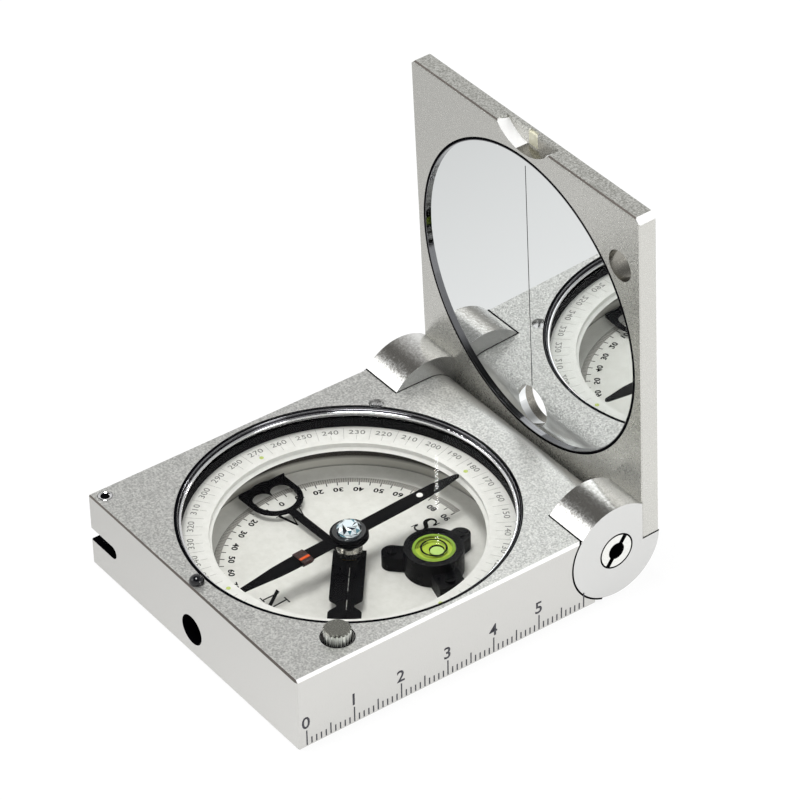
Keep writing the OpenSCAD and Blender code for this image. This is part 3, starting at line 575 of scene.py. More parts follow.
def azimuth_scale():
    """Degree lines and figures on the azimuth ring."""
    lines, figures, dots = bmesh.new(), bmesh.new(), bmesh.new()
    for degree in range(0, 360, 5):
        polar = degree - 90 + RING_ZERO
        if degree % 10:
            bar(lines, (3.4, 0.07, INK), at_azimuth(polar, RING_LINE_R, RING_FACE + INK / 2))
            continue
        bar(lines, (1.3, 0.07, INK), at_azimuth(polar, RING_TICK_R, RING_FACE + INK / 2))
        place = at_azimuth(polar, RING_FIGURE_R, RING_FACE) @ turned(-90)
        stamp(figures, str(degree), RING_FIGURE_H, place @ wider(FIGURE_STRETCH))
        if degree % 90 == 0:
            disc(dots, 0.42, 1.5 * INK, at_azimuth(polar, RING_DOT_R, RING_FACE), 16)
    new_piece("azimuth_lines", lines, RING_LINE_INK, "azimuth_ring")
    new_piece("azimuth_figures", figures, RING_INK, "azimuth_ring")
    new_piece("quarter_dots", dots, LIME_INK, "azimuth_ring")


def clinometer_scale():
    """The half scale that the hanging pointer reads, on the W half of the dial."""
    band, lines, figures = bmesh.new(), bmesh.new(), bmesh.new()
    for step in range(180):
        bar(band, (1.25, 0.44, INK / 2), at_azimuth(90.5 + step, BAND_R, DIAL_FACE + INK / 4))
    for degree in range(0, 181):
        polar = 90 + degree
        if degree % 5 == 0:
            bar(lines, (0.85, 0.17, INK), at_azimuth(polar, BAND_TICK_R, DIAL_FACE + INK / 2))
        bar(lines, (1.2, 0.06, INK), at_azimuth(polar, BAND_R, DIAL_FACE + INK / 2))
        if degree % 10 == 0:
            place = at_azimuth(polar, BAND_FIGURE_R, DIAL_FACE) @ turned(90)
            stamp(figures, str(abs(90 - degree)), BAND_FIGURE_H, place @ wider(FIGURE_STRETCH), 0.03)
    new_piece("clinometer_band", band, BAND_INK, "case")
    new_piece("clinometer_lines", lines, BLACK_INK_AND_SHADE, "case")
    new_piece("clinometer_figures", figures, BLACK_INK_AND_SHADE, "case")


# Serif letters as strokes: the two ends of each, and its width at each end, in units of the height
STROKES_N = [
    ((-0.40, 0.44), (0.27, -0.46), 0.17, 0.17),
    ((-0.27, -0.46), (-0.27, 0.4), 0.075, 0.075),
    ((0.40, -0.42), (0.34, 0.44), 0.075, 0.075),
    ((0.16, 0.45), (0.56, 0.45), 0.07, 0.07),
    ((-0.46, -0.46), (-0.14, -0.46), 0.06, 0.06),
    ((-0.50, 0.46), (-0.30, 0.46), 0.07, 0.07),
]
STROKES_W = [
    ((-0.48, 0.46), (-0.2, -0.48), 0.14, 0.1),
    ((-0.2, -0.48), (0.04, 0.42), 0.045, 0.045),
    ((0.0, 0.46), (0.26, -0.48), 0.14, 0.1),
    ((0.26, -0.48), (0.52, 0.42), 0.045, 0.045),
    ((-0.62, 0.46), (-0.32, 0.46), 0.045, 0.045),
    ((-0.14, 0.46), (0.16, 0.46), 0.045, 0.045),
    ((0.4, 0.46), (0.66, 0.46), 0.045, 0.045),
]


def strokes_s():
    """An S as short strokes along its spine, thin at the ends and thick in the middle."""
    spine = []
    for step in range(13):
        a = math.radians(20 + step * 20)
        spine.append((0.2 * math.cos(a), 0.255 + 0.225 * math.sin(a)))
    for step in range(1, 13):
        a = math.radians(80 - step * 20)
        spine.append((0.22 * math.cos(a), -0.245 + 0.235 * math.sin(a)))
    strokes = []
    last = len(spine) - 1
    for i in range(last):
        width = [0.06 + 0.12 * math.sin(math.pi * k / last) ** 2 for k in (i, i + 1)]
        strokes.append((spine[i], spine[i + 1], *width))
    return strokes + [
        ((0.17, 0.32), (0.25, 0.32), 0.12, 0.12),
        ((0.22, 0.22), (0.24, 0.5), 0.04, 0.04),
        ((-0.25, -0.5), (-0.22, -0.22), 0.04, 0.04),
        ((-0.24, -0.3), (-0.16, -0.3), 0.1, 0.1),
    ]


def letter(bm, strokes, height, place):
    """Prints a letter from its strokes."""
    for start, end, first, second in strokes:
        start, end = Vector((*start, 0)) * height, Vector((*end, 0)) * height
        along = (end - start).normalized()
        across = Vector((-along.y, along.x, 0)) * height / 2
        start, end = start - along * 0.02 * height, end + along * 0.02 * height
        part = bmesh.new()
        ends = [(start, first), (start, -first), (end, -second), (end, second)]
        face = part.faces.new([part.verts.new(at + across * width) for at, width in ends])
        made = bmesh.ops.extrude_face_region(part, geom=[face], use_keep_orig=True)
        tops = [v for v in made["geom"] if isinstance(v, bmesh.types.BMVert)]
        bmesh.ops.translate(part, vec=(0, 0, INK), verts=tops)
        bmesh.ops.recalc_face_normals(part, faces=part.faces)
        add_mesh(bm, part, place)


def dial_letters():
    letters = bmesh.new()
    letter(letters, STROKES_N, 3.9, moved(0.1, -16.6, DIAL_FACE))
    letter(letters, strokes_s(), 4.6, moved(-0.45, 17.1, DIAL_FACE))
    letter(letters, STROKES_W, 4.3, moved(-16.66, -0.3, DIAL_FACE) @ turned(90))
    new_piece("dial_letters", letters, BLACK_INK_AND_SHADE, "case")


def ruler_scale():
    """Sixty millimetres along the +X side, with a figure at each centimetre."""
    lines, figures = bmesh.new(), bmesh.new()
    upright = Matrix(((0, 0, 1, 0), (1, 0, 0, 0), (0, 1, 0, 0), (0, 0, 0, 1)))
    face = moved(CASE_HALF_W, RULER_START, 0) @ upright
    whole, half, single = RULER_TICKS
    for tick in range(61):
        end = whole if tick % 10 == 0 else half if tick % 5 == 0 else single
        place = face @ moved(tick, (end + RULER_TICK_START) / 2, INK / 2)
        bar(lines, (0.26, end - RULER_TICK_START, INK), place)
        if tick % 10 == 0 and tick < 60:
            place = face @ moved(tick - 0.1, 5.5, 0)
            stamp(figures, str(tick // 10), RULER_FIGURE_H, place, 0.012)
    new_piece("ruler_lines", lines, RULER_INK, "case")
    new_piece("ruler_figures", figures, RULER_INK, "case")


# Fine pieces


def mirror_hairline():
    """The dark line down the middle of the mirror, from the top to the sight hole."""
    line = bmesh.new()
    bar(line, (0.16, INK, 48.2), in_lid() @ moved(0, MIRROR_FACE - INK / 2, 38.6))
    new_piece("mirror_hairline", line, BLACK_INK_AND_SHADE, "lid")


def flat_ring(bm, inner, outer, low, high, place, steps=64):
    spun(bm, [(inner, low), (outer, low), (outer, high), (inner, high)], place, steps)


def shade_ring(bm, inner, outer, place, steps):
    """A thin dark ring that lies on a face."""
    flat_ring(bm, inner, outer, -SHADE_SINK, SHADE_RISE, place, steps)


def level_marks():
    """The darker rim of the liquid, the ring that the bubble is centred in, the bubble, and painted shade
    on the bubble's edge.
    """
    under = LEVEL_TOP - 0.15
    rim = bmesh.new()
    flat_ring(rim, *LEVEL_RIM, under, under + 0.01, at_level())
    new_piece("level_rim", rim, GREEN_RIM, "case")
    ring = bmesh.new()
    flat_ring(ring, *LEVEL_RING, under, under + 0.02, at_level())
    new_piece("level_ring", ring, BLACK_INK_AND_SHADE, "case")
    at_bubble = at_level() @ moved(*BUBBLE_AT, 0)
    bubble = bmesh.new()
    disc(bubble, BUBBLE_R, 0.03, at_bubble @ moved(0, 0, under), 48)
    new_piece("bubble", bubble, PALE_BUBBLE, "case")
    # Painted shade on one side of the bubble's edge, widest halfway round.
    crescent = bmesh.new()
    for step in range(24):
        width = 0.12 + 0.36 * math.sin(math.pi * (step + 0.5) / 24)
        place = at_bubble @ at_azimuth(62 + step * 8, BUBBLE_R, under + 0.025)
        bar(crescent, (width, 0.2, 0.05), place)
    new_piece("bubble_edge_shade", crescent, BLACK_INK_AND_SHADE, "case")


def raised_lugs():
    """The level's lugs and foot a little thicker than the plain solid's, with dark screws."""
    for name in ("level_housing", "level_screws"):
        lugs = solid_mesh(name)
        for v in lugs.verts:
            if LUG_TOP - 0.01 < v.co.z < LUG_TOP + 0.5:
                v.co.z += LUG_RISE
        smooth(new_piece("raised_" + name, lugs, BLACK, "case", [name]))


def balance_winding():
    """Wire wound in close turns round the front arm of the needle, with an orange bar on top as a painted
    highlight.
    """
    curve = bpy.data.curves.new("winding", "CURVE")
    curve.dimensions = "3D"
    curve.bevel_depth = WIRE_R
    curve.bevel_resolution = 1
    turns, steps = 9, 24
    spline = curve.splines.new("POLY")
    spline.points.add(turns * steps)
    for i, point in enumerate(spline.points):
        a = math.tau * i / steps
        x = math.copysign(abs(math.cos(a)) ** 0.5, math.cos(a)) * WINDING_HALF_W
        z = math.copysign(abs(math.sin(a)) ** 0.5, math.sin(a)) * WINDING_HALF_H
        point.co = (x, WINDING_START - WINDING_LENGTH * i / (turns * steps), z, 1)
    carrier = bpy.data.objects.new("winding", curve)
    mesh = bpy.data.meshes.new_from_object(carrier)
    bpy.data.objects.remove(carrier)
    bpy.data.curves.remove(curve)
    mesh.transform(on_needle())
    wire = bmesh.new()
    wire.from_mesh(mesh)
    bpy.data.meshes.remove(mesh)
    smooth(new_piece("balance_winding", wire, MAROON_WIRE, "needle", ["balance_coil"]), 80)
    # Painted highlight: an orange bar along the top of the winding.
    highlight_bar = bmesh.new()
    middle = WINDING_START - WINDING_LENGTH / 2
    bar(highlight_bar, (0.62, WINDING_LENGTH, 0.16), on_needle() @ moved(0.55, middle, 0.52))
    bmesh.ops.bevel(highlight_bar, geom=highlight_bar.edges, offset=0.07, segments=2, affect="EDGES")
    smooth(new_piece("winding_highlight", highlight_bar, ORANGE_HIGHLIGHT, "needle"))


def needle_dot():
    """White enamel in the hole of the S arm."""
    dot = bmesh.new()
    disc(dot, DOT_R, 0.12, on_needle() @ moved(0, DOT_AT, 0.12), 32)
    new_piece("needle_dot", dot, WHITE_ENAMEL, "needle")


def circle_points(radius, z, count, turn=0):
    """Points evenly round a circle, from this turn in degrees."""
    return [turned(turn + 360 * k / count) @ Vector((radius, 0, z)) for k in range(count)]


def cut_jewel():
    """The jewel over the pivot, with a flat table and two rows of facets on a plain flange. The table and
    facets are coloured pale, teal and dark in turn as painted reflections.
    """
    stone = bmesh.new()
    rows = [
        circle_points(0.95, 1.72, 6), circle_points(1.5, 1.42, 12, 15), circle_points(2.02, 0.85, 12),
        circle_points(2.05, 0.4, 12, 15), circle_points(1.9, 0.1, 12, 15),
    ]
    for upper, lower in zip(rows, rows[1:]):
        facet_row(stone, upper, lower)
    stone.faces.new([stone.verts.new(point) for point in rows[0]])
    bmesh.ops.remove_doubles(stone, verts=stone.verts, dist=0.001)
    bmesh.ops.holes_fill(stone, edges=stone.edges)
    bmesh.ops.recalc_face_normals(stone, faces=stone.faces)
    seat = on_needle() @ moved(0, 0, CUP_TOP) @ Matrix.Scale(JEWEL_SCALE, 4)
    bmesh.ops.transform(stone, matrix=seat, verts=stone.verts)
    # Painted reflections: each facet in turn gets the mirror finish, a pale glint, teal or dark.
    for i, facet in enumerate(stone.faces):
        facet.material_index = 1 if len(facet.verts) > 4 else (0, 1, 3, 1, 2, 1, 0)[i % 7]
    piece = new_piece("cut_jewel", stone, JEWEL, "needle", ["jewel_cap"])
    more_finishes(piece, FACET_PAINTED_GLINT, FACET_PAINTED_TEAL, FACET_PAINTED_DARK)
    flange = bmesh.new()
    flat_ring(flange, 1.85, 3.05, CUP_TOP + 0.02, CUP_TOP + 0.3, on_needle())
    smooth(new_piece("jewel_flange", flange, GLASS_FLANGE, "needle"))


def facet_row(bm, upper, lower):
    """Triangles between two closed rows of points, each point going to its nearest neighbours."""
    count = max(len(upper), len(lower))
    for k in range(count):
        a = upper[(k * len(upper) // count) % len(upper)]
        b = upper[((k + 1) * len(upper) // count) % len(upper)]
        c = lower[(k * len(lower) // count) % len(lower)]
        d = lower[((k + 1) * len(lower) // count) % len(lower)]
        bm.faces.new([bm.verts.new(v) for v in (a, c, d)])
        if (b - a).length > 0.001:
            bm.faces.new([bm.verts.new(v) for v in (a, d, b)])


def lever_edge():
    """A painted highlight in bright steel along the edge of the lifting lever's rib."""
    edge = bmesh.new()
    for start, end in ((6.0, 8.4), (8.9, 11.2), (11.6, 12.6), (15.0, 17.6)):
        place = turned(LEVER_AZIMUTH) @ moved((start + end) / 2, 0.36, LEVER_TOP + 0.24)
        bar(edge, (end - start, 0.09, 0.05), place)
    new_piece("lever_edge", edge, BRIGHT_STEEL, "lift_lever")


def solid_mesh(name):
    """A copy of a solid's mesh, in millimetres."""
    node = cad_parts[name]
    mesh = bmesh.new()
    mesh.from_mesh(node.data)
    bmesh.ops.transform(mesh, matrix=Matrix.Scale(1 / MM, 4) @ node.matrix_world, verts=mesh.verts)
    bmesh.ops.remove_doubles(mesh, verts=mesh.verts, dist=0.0005)
    return mesh


def sharpened(mesh, axis, pairs, keep=None):
    """Moves the chamfer's edges along one axis: each pair is the old place and the new one."""
    for v in mesh.verts:
        for old, new in pairs:
            if abs(v.co[axis] - old) < 0.004 and not (keep and keep(v.co)):
                v.co[axis] = new
                break


def painted(mesh, rules):
    """Gives faces the material of the first rule that holds, counted from 1."""
    mesh.normal_update()
    for face in mesh.faces:
        at, normal = face.calc_center_median(), face.normal
        for index, rule in enumerate(rules):
            if rule(at, normal):
                face.material_index = index + 1
                break


def in_socket(at):
    return math.hypot(at.x, at.z - SOCKET_Z) < SOCKET_R - 0.001 and 0.02 < at.y - FRONT_Y < 5


def in_strap_slot(at):
    length, depth, low, high = STRAP_SLOT
    return 0.02 < at.x + CASE_HALF_W < length and 0.02 < at.y - FRONT_Y < depth and low < at.z < high


def in_knuckle_pocket(at):
    beside = 22 < abs(at.x) < CASE_HALF_W - 0.02 and at.y > 24 and at.z < CASE_TOP - 0.1
    return beside and math.hypot(at.y - HINGE_Y, at.z - HINGE_Z) < KNUCKLE_R + 0.45


def in_case_hollow(at, normal):
    return in_socket(at) or in_strap_slot(at) or in_knuckle_pocket(at)


def on_front_top_edge(at, normal):
    return at.y < FRONT_Y + EDGE and normal.y < -0.3 and normal.z > 0.3


def on_ruler_top_edge(at, normal):
    return at.x > CASE_HALF_W - EDGE and normal.x > 0.3 and normal.z > 0.3


def on_bowl_wall(at, normal):
    return math.hypot(at.x, at.y) < BOWL_R and abs(normal.z) < 0.5 and DIAL_FACE < at.z < CASE_TOP - 2


def by_ruler_top(at):
    return at.x > CASE_HALF_W - EDGE - 0.1 and at.z > CASE_TOP - EDGE - 0.1


def finer(outer, side=1):
    """Where a chamfer's edge lies before and after: the outer face's place, and the side it faces."""
    return (outer - side * EDGE, outer - side * FINE_EDGE)


def fine_case():
    """The case with a fine chamfer, painted shade in its hollows, a painted dark reflection on the front
    top chamfer, a painted highlight on the ruler's top chamfer, the bowl wall's painted shadow, and room
    at the back for the wide-open lid's foot.
    """
    mesh = solid_mesh("case_body")
    sharpened(mesh, 1, [finer(FRONT_Y, -1)])
    sharpened(mesh, 2, [finer(0, -1), finer(CASE_TOP)], by_ruler_top)
    sharpened(mesh, 0, [finer(CASE_HALF_W), finer(-CASE_HALF_W, -1)], by_ruler_top)
    for height in (FOOT_ROOM_TOP - 0.05, FOOT_ROOM_TOP + 0.1):
        every = mesh.verts[:] + mesh.edges[:] + mesh.faces[:]
        bmesh.ops.bisect_plane(mesh, geom=every, plane_co=(0, 0, height), plane_no=(0, 0, 1))
    for v in mesh.verts:
        if v.co.z < FOOT_ROOM_TOP:
            v.co.y = min(v.co.y, HINGE_Y - FOOT_ROOM)
    # Painted shade in the hollows, a painted dark reflection, a painted highlight, and the bowl wall's
    # painted shadow, in this order.
    painted(mesh, [in_case_hollow, on_front_top_edge, on_ruler_top_edge, on_bowl_wall])
    piece = new_piece("fine_case", mesh, ALUMINIUM, "case", ["case_body"])
    more_finishes(piece, SHADE, EDGE_PAINTED_DARK, EDGE_PAINTED_HIGHLIGHT, BOWL_METAL)
    smooth(piece, 20)


def on_notch_left(at, normal):
    inside = abs(at.x) < 9 and 60 < at.z < LID_LEN - 0.3
    return inside and normal.x > 0.2 and abs(normal.y) < 0.9


def on_bored_wall(at, normal):
    return abs(normal.y) < 0.9 and abs(at.x) < CASE_HALF_W - 1 and 4 < at.z < LID_LEN - 0.6


def on_cut_corner(at, normal):
    return at.x > CASE_HALF_W - LID_CORNER and normal.x > 0.3 and normal.z > 0.3


def on_lid_front_edge(at, normal):
    return at.z > LID_LEN - EDGE and normal.y < -0.3 and normal.z > 0.3


def fine_lid():
    """The lid's plate with a fine chamfer and its two far corners cut off, with painted highlights on the
    notch's left wall and the cut corners, painted shade on the inner walls, and a painted dark reflection
    on the front top chamfer.
    """
    mesh = solid_mesh("lid_panel")
    bmesh.ops.transform(mesh, matrix=in_lid().inverted(), verts=mesh.verts)
    low = LID_FOOT - FOOT_DROP
    sharpened(mesh, 0, [finer(CASE_HALF_W), finer(-CASE_HALF_W, -1)])
    sharpened(mesh, 1, [finer(LID_FACE, -1), finer(LID_BACK)])
    sharpened(mesh, 2, [finer(LID_LEN), (LID_FOOT, low), (LID_FOOT + EDGE, low + FINE_EDGE)])
    for side in (-1, 1):
        corner = (side * (CASE_HALF_W - LID_CORNER), 0, LID_LEN)
        every = mesh.verts[:] + mesh.edges[:] + mesh.faces[:]
        bmesh.ops.bisect_plane(mesh, geom=every, plane_co=corner, plane_no=(side, 0, 1), clear_outer=True)
        rim = [e for e in mesh.edges if len(e.link_faces) == 1]
        bmesh.ops.holes_fill(mesh, edges=rim)
    bmesh.ops.recalc_face_normals(mesh, faces=mesh.faces)
    # A painted highlight, painted shade, a painted highlight and a painted dark reflection, in this
    # order.
    painted(mesh, [on_notch_left, on_bored_wall, on_cut_corner, on_lid_front_edge])
    bmesh.ops.transform(mesh, matrix=in_lid(), verts=mesh.verts)
    piece = new_piece("fine_lid", mesh, LID_ALUMINIUM, "lid", ["lid_panel"])
    more_finishes(piece, EDGE_PAINTED_HIGHLIGHT, BORE_WALL_SHADE, EDGE_PAINTED_HIGHLIGHT, EDGE_PAINTED_DARK)
    smooth(piece, 20)


def on_end_face(at, normal):
    return abs(normal.x) > 0.9


def fine_knuckles():
    """The knuckles with the notch for the lid's foot as low as the fine lid's."""
    for name in ("knuckle_left", "knuckle_right"):
        mesh = solid_mesh(name)
        bmesh.ops.transform(mesh, matrix=in_lid().inverted(), verts=mesh.verts)
        sharpened(mesh, 2, [(LID_FOOT, LID_FOOT - FOOT_DROP)])
        bmesh.ops.transform(mesh, matrix=in_lid(), verts=mesh.verts)
        painted(mesh, [on_end_face])
        piece = new_piece("fine_" + name, mesh, KNUCKLE_ALUMINIUM, "lid", [name])
        more_finishes(piece, FACED_ALUMINIUM)
        smooth(piece, 20)


def dished_strap_pin():
    """The strap pin with a shallow dish turned in its bright head, and painted shade in the dish."""
    plain = solid_mesh("strap_pin")
    low = min(v.co.z for v in plain.verts)
    x = sum(v.co.x for v in plain.verts) / len(plain.verts)
    y = sum(v.co.y for v in plain.verts) / len(plain.verts)
    plain.free()
    pin = bmesh.new()
    shank = [(0.02, low), (0.98, low), (0.98, PIN_NECK)]
    head = [(1.3, PIN_NECK), (1.3, 15.5), (1.2, PIN_TOP), (1.0, PIN_TOP)]
    hollow = [(0.75, 15.3), (0.4, 15.05), (0.02, PIN_DISH)]
    spun(pin, shank + head + hollow, moved(x, y, 0), 40)
    smooth(new_piece("dished_strap_pin", pin, CHROME, "case", ["strap_pin"]), 50)
    # Painted shade: a black disc in the dish, set off towards -X and -Y.
    dish = bmesh.new()
    disc(dish, 0.84, 0.08, moved(x - 0.08, y - 0.08, 15.36), 32)
    new_piece("pin_dish_shade", dish, SHADE, "case")


def glossy_bead():
    """The sight bead as a small glossy dome."""
    angles = [math.radians(a) for a in range(0, 90, 10)]
    dome = [(BEAD_R * math.cos(a), BEAD_WAIST + BEAD_RISE * math.sin(a)) for a in angles]
    foot = [(0.02, 14.6), (1.1, 14.6), (1.1, 15.52), (BEAD_R, 15.52)]
    bead = bmesh.new()
    spun(bead, foot + dome + [(0.02, BEAD_WAIST + BEAD_RISE)], moved(*BEAD_AT, 0), 40)
    smooth(new_piece("glossy_bead", bead, GLOSS_BLACK, "case", ["sight_bead"]), 50)


def bezel_gap():
    """Painted shade in the gaps round the bezel and the lock knob, widened along the front arc, and a
    painted dark reflection line on the bezel's top.
    """
    gap = bmesh.new()
    on_top = moved(0, 0, CASE_TOP)
    shade_ring(gap, BEZEL_R - 0.04, BEZEL_R + 0.16, on_top, 128)
    # Painted dark reflection: a black line on the bezel's top.
    shade_ring(gap, BEZEL_R - 0.4, BEZEL_R - 0.16, on_top, 128)
    # Painted shade and dark reflection, wider along the front arc.
    for polar in range(190, 350):
        bar(gap, (0.44, 0.56, 0.02), at_azimuth(polar, BEZEL_R - 0.06, CASE_TOP))
    shade_ring(gap, KNOB_R - 0.12, KNOB_R + 0.1, moved(*KNOB_AT, CASE_TOP), 48)
    new_piece("bezel_gap", gap, SHADE, "case")


def pin_gap():
    """The shadow gap round each hinge pin's head."""
    rim = bmesh.new()
    for side in (-1, 1):
        place = moved(side * CASE_HALF_W, HINGE_Y, HINGE_Z) @ turned(90, "Y")
        shade_ring(rim, PIN_HEAD_R - 0.18, PIN_HEAD_R + 0.14, place, 64)
    new_piece("pin_gap", rim, SHADE, "lid")


def mirror_gap():
    """The shadow gap between the lid and the mirror's ring."""
    gap = bmesh.new()
    place = in_lid() @ moved(0, LID_FACE, MIRROR_DIST) @ turned(90, "X")
    shade_ring(gap, MIRROR_R - 0.36, MIRROR_R + 0.14, place, 160)
    new_piece("mirror_gap", gap, SHADE, "lid")


def knuckle_gap():
    """The shadow gap between the case and each knuckle, on the side and on top."""
    beside = bmesh.new()
    gap_r = KNUCKLE_R + KNUCKLE_GAP
    for side in (-1, 1):
        for step in range(60):
            angle = 128 + 2.55 * step
            a = math.radians(angle)
            at = moved(side * CASE_HALF_W, HINGE_Y + gap_r * math.cos(a), HINGE_Z + gap_r * math.sin(a))
            if 0.35 < at.translation.z < CASE_TOP - 0.1:
                bar(beside, (0.02, 0.36, 0.46), at @ turned(angle, "X"))
        front = moved(side * (CASE_HALF_W - KNUCKLE_W / 2), POCKET_Y, CASE_TOP)
        bar(beside, (KNUCKLE_W, 0.34, 0.02), front)
    new_piece("knuckle_gap", beside, SHADE, "case")


def foot_gap():
    """The shadow gap under the lid's foot, on the end of each knuckle."""
    foot = bmesh.new()
    middle = (LID_FACE + LID_BACK) / 2
    for side in (-1, 1):
        place = in_lid() @ moved(side * CASE_HALF_W, middle, LID_FOOT - FOOT_DROP)
        bar(foot, (0.02, LID_BACK - LID_FACE, 0.22), place)
    new_piece("foot_gap", foot, SHADE, "lid")


def dress_solids():
    """Gives each solid its finish."""
    for name, material in NODE_FINISH.items():
        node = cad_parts[name]
        node.data.materials.clear()
        node.data.materials.append(material)


def dress_knob():
    """A darker steel on the lock knob's up-facing crown, and painted shade at its foot."""
    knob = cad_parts["lock_knob"]
    more_finishes(knob, KNOB_TOP, SHADE)
    crown = max(v.co.z for v in knob.data.vertices) - 0.5 * MM
    foot = (CASE_TOP + 0.25) * MM
    for face in knob.data.polygons:
        if face.normal.z > 0.4 and face.center.z > crown:
            face.material_index = 1
        elif face.center.z < foot:
            face.material_index = 2


def dress_hinge_pins():
    """Paints shade into the slots and holes in the hinge pins' heads."""
    for name in ("hinge_pin_left", "hinge_pin_right"):
        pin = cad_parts[name]
        more_finishes(pin, SHADE)
        for face in pin.data.polygons:
            if abs(face.center.x) < (CASE_HALF_W - 0.05) * MM:
                face.material_index = 1


# Camera, floor and light


def set_camera():
    """The photograph's own viewpoint."""
    right = Vector((0.59336485, 0.80474575, -0.01739066))
    forward = Vector((-0.6486574, 0.46525991, -0.60230954))
    up = right.cross(forward)
    camera = bpy.data.objects.new("camera", bpy.data.cameras.new("camera"))
    turn = Matrix((right, up, -forward)).transposed().to_4x4()
    camera.matrix_world = Matrix.Translation(Vector((475.907, -329.626, 476.506)) * MM) @ turn
    camera.data.lens = 188.33
    camera.data.sensor_width = 36
    camera.data.clip_start = 0.01
    bpy.context.scene.collection.objects.link(camera)
    bpy.context.scene.camera = camera


def seen_by(owner, *kinds):
    """One for rays of these kinds, and nought for the others."""
    rays = add_node(owner, "ShaderNodeLightPath")
    seen, *others = [rays.outputs[f"Is {kind} Ray"] for kind in kinds]
    for other in others:
        seen = combined(owner, "MAXIMUM", seen, other)
    return seen


def white_where_seen(material, share):
    """Mixes white into what the camera, reflections and glass see, brighter towards +X in reflections."""
    part = combined(material, "MULTIPLY", seen_by(material, "Camera", "Glossy", "Transmission"), share)
    bright = add_node(material, "ShaderNodeMix")
    bright.inputs[3].default_value = 1.04
    link(material, seen_by(material, "Camera"), bright.inputs[0])
    link(material, between(material, coordinate(material, "X"), 0.7, 1.28, -0.11, 0.05), bright.inputs[2])
    white = add_node(material, "ShaderNodeEmission", Color=(1, 1, 1, 1))
    link(material, bright.outputs[0], white.inputs["Strength"])
    mix = add_node(material, "ShaderNodeMixShader")
    link(material, part, mix.inputs[0])
    link(material, shader_of(material).outputs[0], mix.inputs[1])
    link(material, white.outputs[0], mix.inputs[2])
    link(material, mix.outputs[0], material.node_tree.nodes["Material Output"].inputs["Surface"])


def grey_ramp(owner, value, stops):
    """Grey levels that follow a value."""
    ramp = add_node(owner, "ShaderNodeValToRGB")
    while len(ramp.color_ramp.elements) < len(stops):
        ramp.color_ramp.elements.new(0.5)
    for element, (position, level) in zip(ramp.color_ramp.elements, stops):
        element.position = position
        element.color = (level, level, level, 1)
    link(owner, value, ramp.inputs["Fac"])
    return ramp.outputs["Color"]


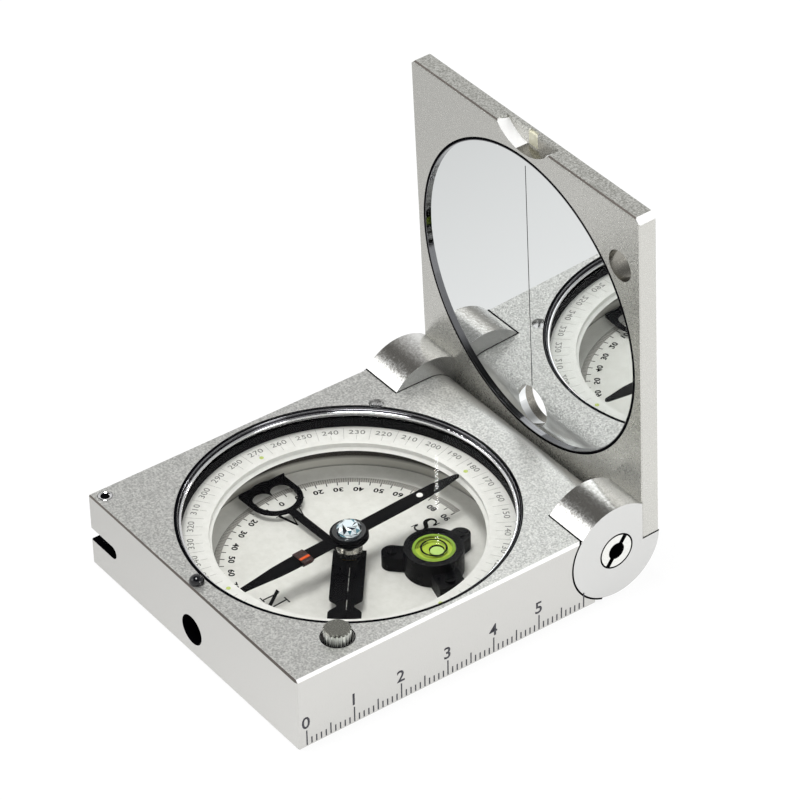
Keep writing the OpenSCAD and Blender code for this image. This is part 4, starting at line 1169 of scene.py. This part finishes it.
def set_world():
    """A white backdrop. Metal shows it bright low down and behind, and dark over the front."""
    world = bpy.data.worlds.new("studio")
    world.use_nodes = True
    bpy.context.scene.world = world
    soft = world.node_tree.nodes["Background"]
    soft.inputs["Color"].default_value = (1, 1, 1, 1)
    soft.inputs["Strength"].default_value = AMBIENT
    place = add_node(world, "ShaderNodeTexCoord")
    parts = add_node(world, "ShaderNodeSeparateXYZ")
    link(world, place.outputs["Generated"], parts.inputs["Vector"])
    height, depth = parts.outputs["Z"], parts.outputs["Y"]
    sky = add_node(world, "ShaderNodeMix", data_type="RGBA")
    link(world, grey_ramp(world, depth, [(0.05, 0.0), (0.4, 1.0)]), sky.inputs[0])
    front = [(0.08, 1.0), (0.3, 0.9), (0.62, 0.8), (0.74, 0.1), (0.85, 0.03)]
    behind = [(0.08, 1.0), (0.3, 0.8), (0.6, 0.69), (0.9, 0.3)]
    link(world, grey_ramp(world, height, front), sky.inputs[6])
    link(world, grey_ramp(world, height, behind), sky.inputs[7])
    above = add_node(world, "ShaderNodeBackground")
    link(world, sky.outputs[2], above.inputs["Color"])
    shown = add_node(world, "ShaderNodeMixShader")
    link(world, seen_by(world, "Glossy", "Transmission"), shown.inputs[0])
    link(world, soft.outputs[0], shown.inputs[1])
    link(world, above.outputs[0], shown.inputs[2])
    white = add_node(world, "ShaderNodeBackground", Color=(1, 1, 1, 1))
    mix = add_node(world, "ShaderNodeMixShader")
    link(world, seen_by(world, "Camera"), mix.inputs[0])
    link(world, shown.outputs[0], mix.inputs[1])
    link(world, white.outputs[0], mix.inputs[2])
    link(world, mix.outputs[0], world.node_tree.nodes["World Output"].inputs["Surface"])
    bpy.context.scene.view_settings.view_transform = "Standard"


def set_floor():
    """A wide pale floor, on the stage and not part of the object."""
    floor_mesh = bmesh.new()
    bmesh.ops.create_grid(floor_mesh, x_segments=1, y_segments=1, size=3)
    mesh = bpy.data.meshes.new("floor")
    floor_mesh.to_mesh(mesh)
    floor_mesh.free()
    floor = bpy.data.objects.new("floor", mesh)
    bpy.context.scene.collection.objects.link(floor)
    material = finish("pale_floor", (0.93, 0.93, 0.93), roughness=0.9)
    white_where_seen(material, 0.86)
    mesh.materials.append(material)


def lamp(name, place, aim, size, watts):
    """A round lamp, in metres, that the camera doesn't see."""
    data = bpy.data.lights.new(name, "AREA")
    data.shape = "DISK"
    data.size = size
    data.energy = watts
    lamp_object = bpy.data.objects.new(name, data)
    lamp_object.location = place
    lamp_object.rotation_euler = (Vector(aim) - Vector(place)).to_track_quat("-Z", "Y").to_euler()
    bpy.context.scene.collection.objects.link(lamp_object)
    lamp_object.visible_camera = False
    return data


def set_lamps():
    """Three soft lamps, and a narrow one whose reflection is the streak on the cover glass."""
    lamp("key", (-0.1, -0.05, 0.9), (0, 0, 0.01), 0.32, 4.2)
    lamp("side", (0.9, 0.25, 0.4), (0, 0, 0.02), 0.4, 2.4)
    lamp("fill", (-0.7, -0.8, 0.7), (0, 0, 0.02), 0.7, 1.9)
    across, up = -0.0267, 0.0421
    strip = lamp("glint", (across, 0.039, up), (across, -0.4, up), 0.0012, 0.0024)
    strip.shape = "RECTANGLE"
    strip.size_y = 0.013


dress_solids()
dress_knob()
dress_hinge_pins()
fine_case()
fine_lid()
fine_knuckles()
dished_strap_pin()
glossy_bead()
raised_lugs()
bezel_gap()
pin_gap()
mirror_gap()
knuckle_gap()
foot_gap()
azimuth_scale()
clinometer_scale()
dial_letters()
ruler_scale()
mirror_hairline()
level_marks()
balance_winding()
needle_dot()
cut_jewel()
lever_edge()
set_camera()
set_world()
set_floor()
set_lamps()
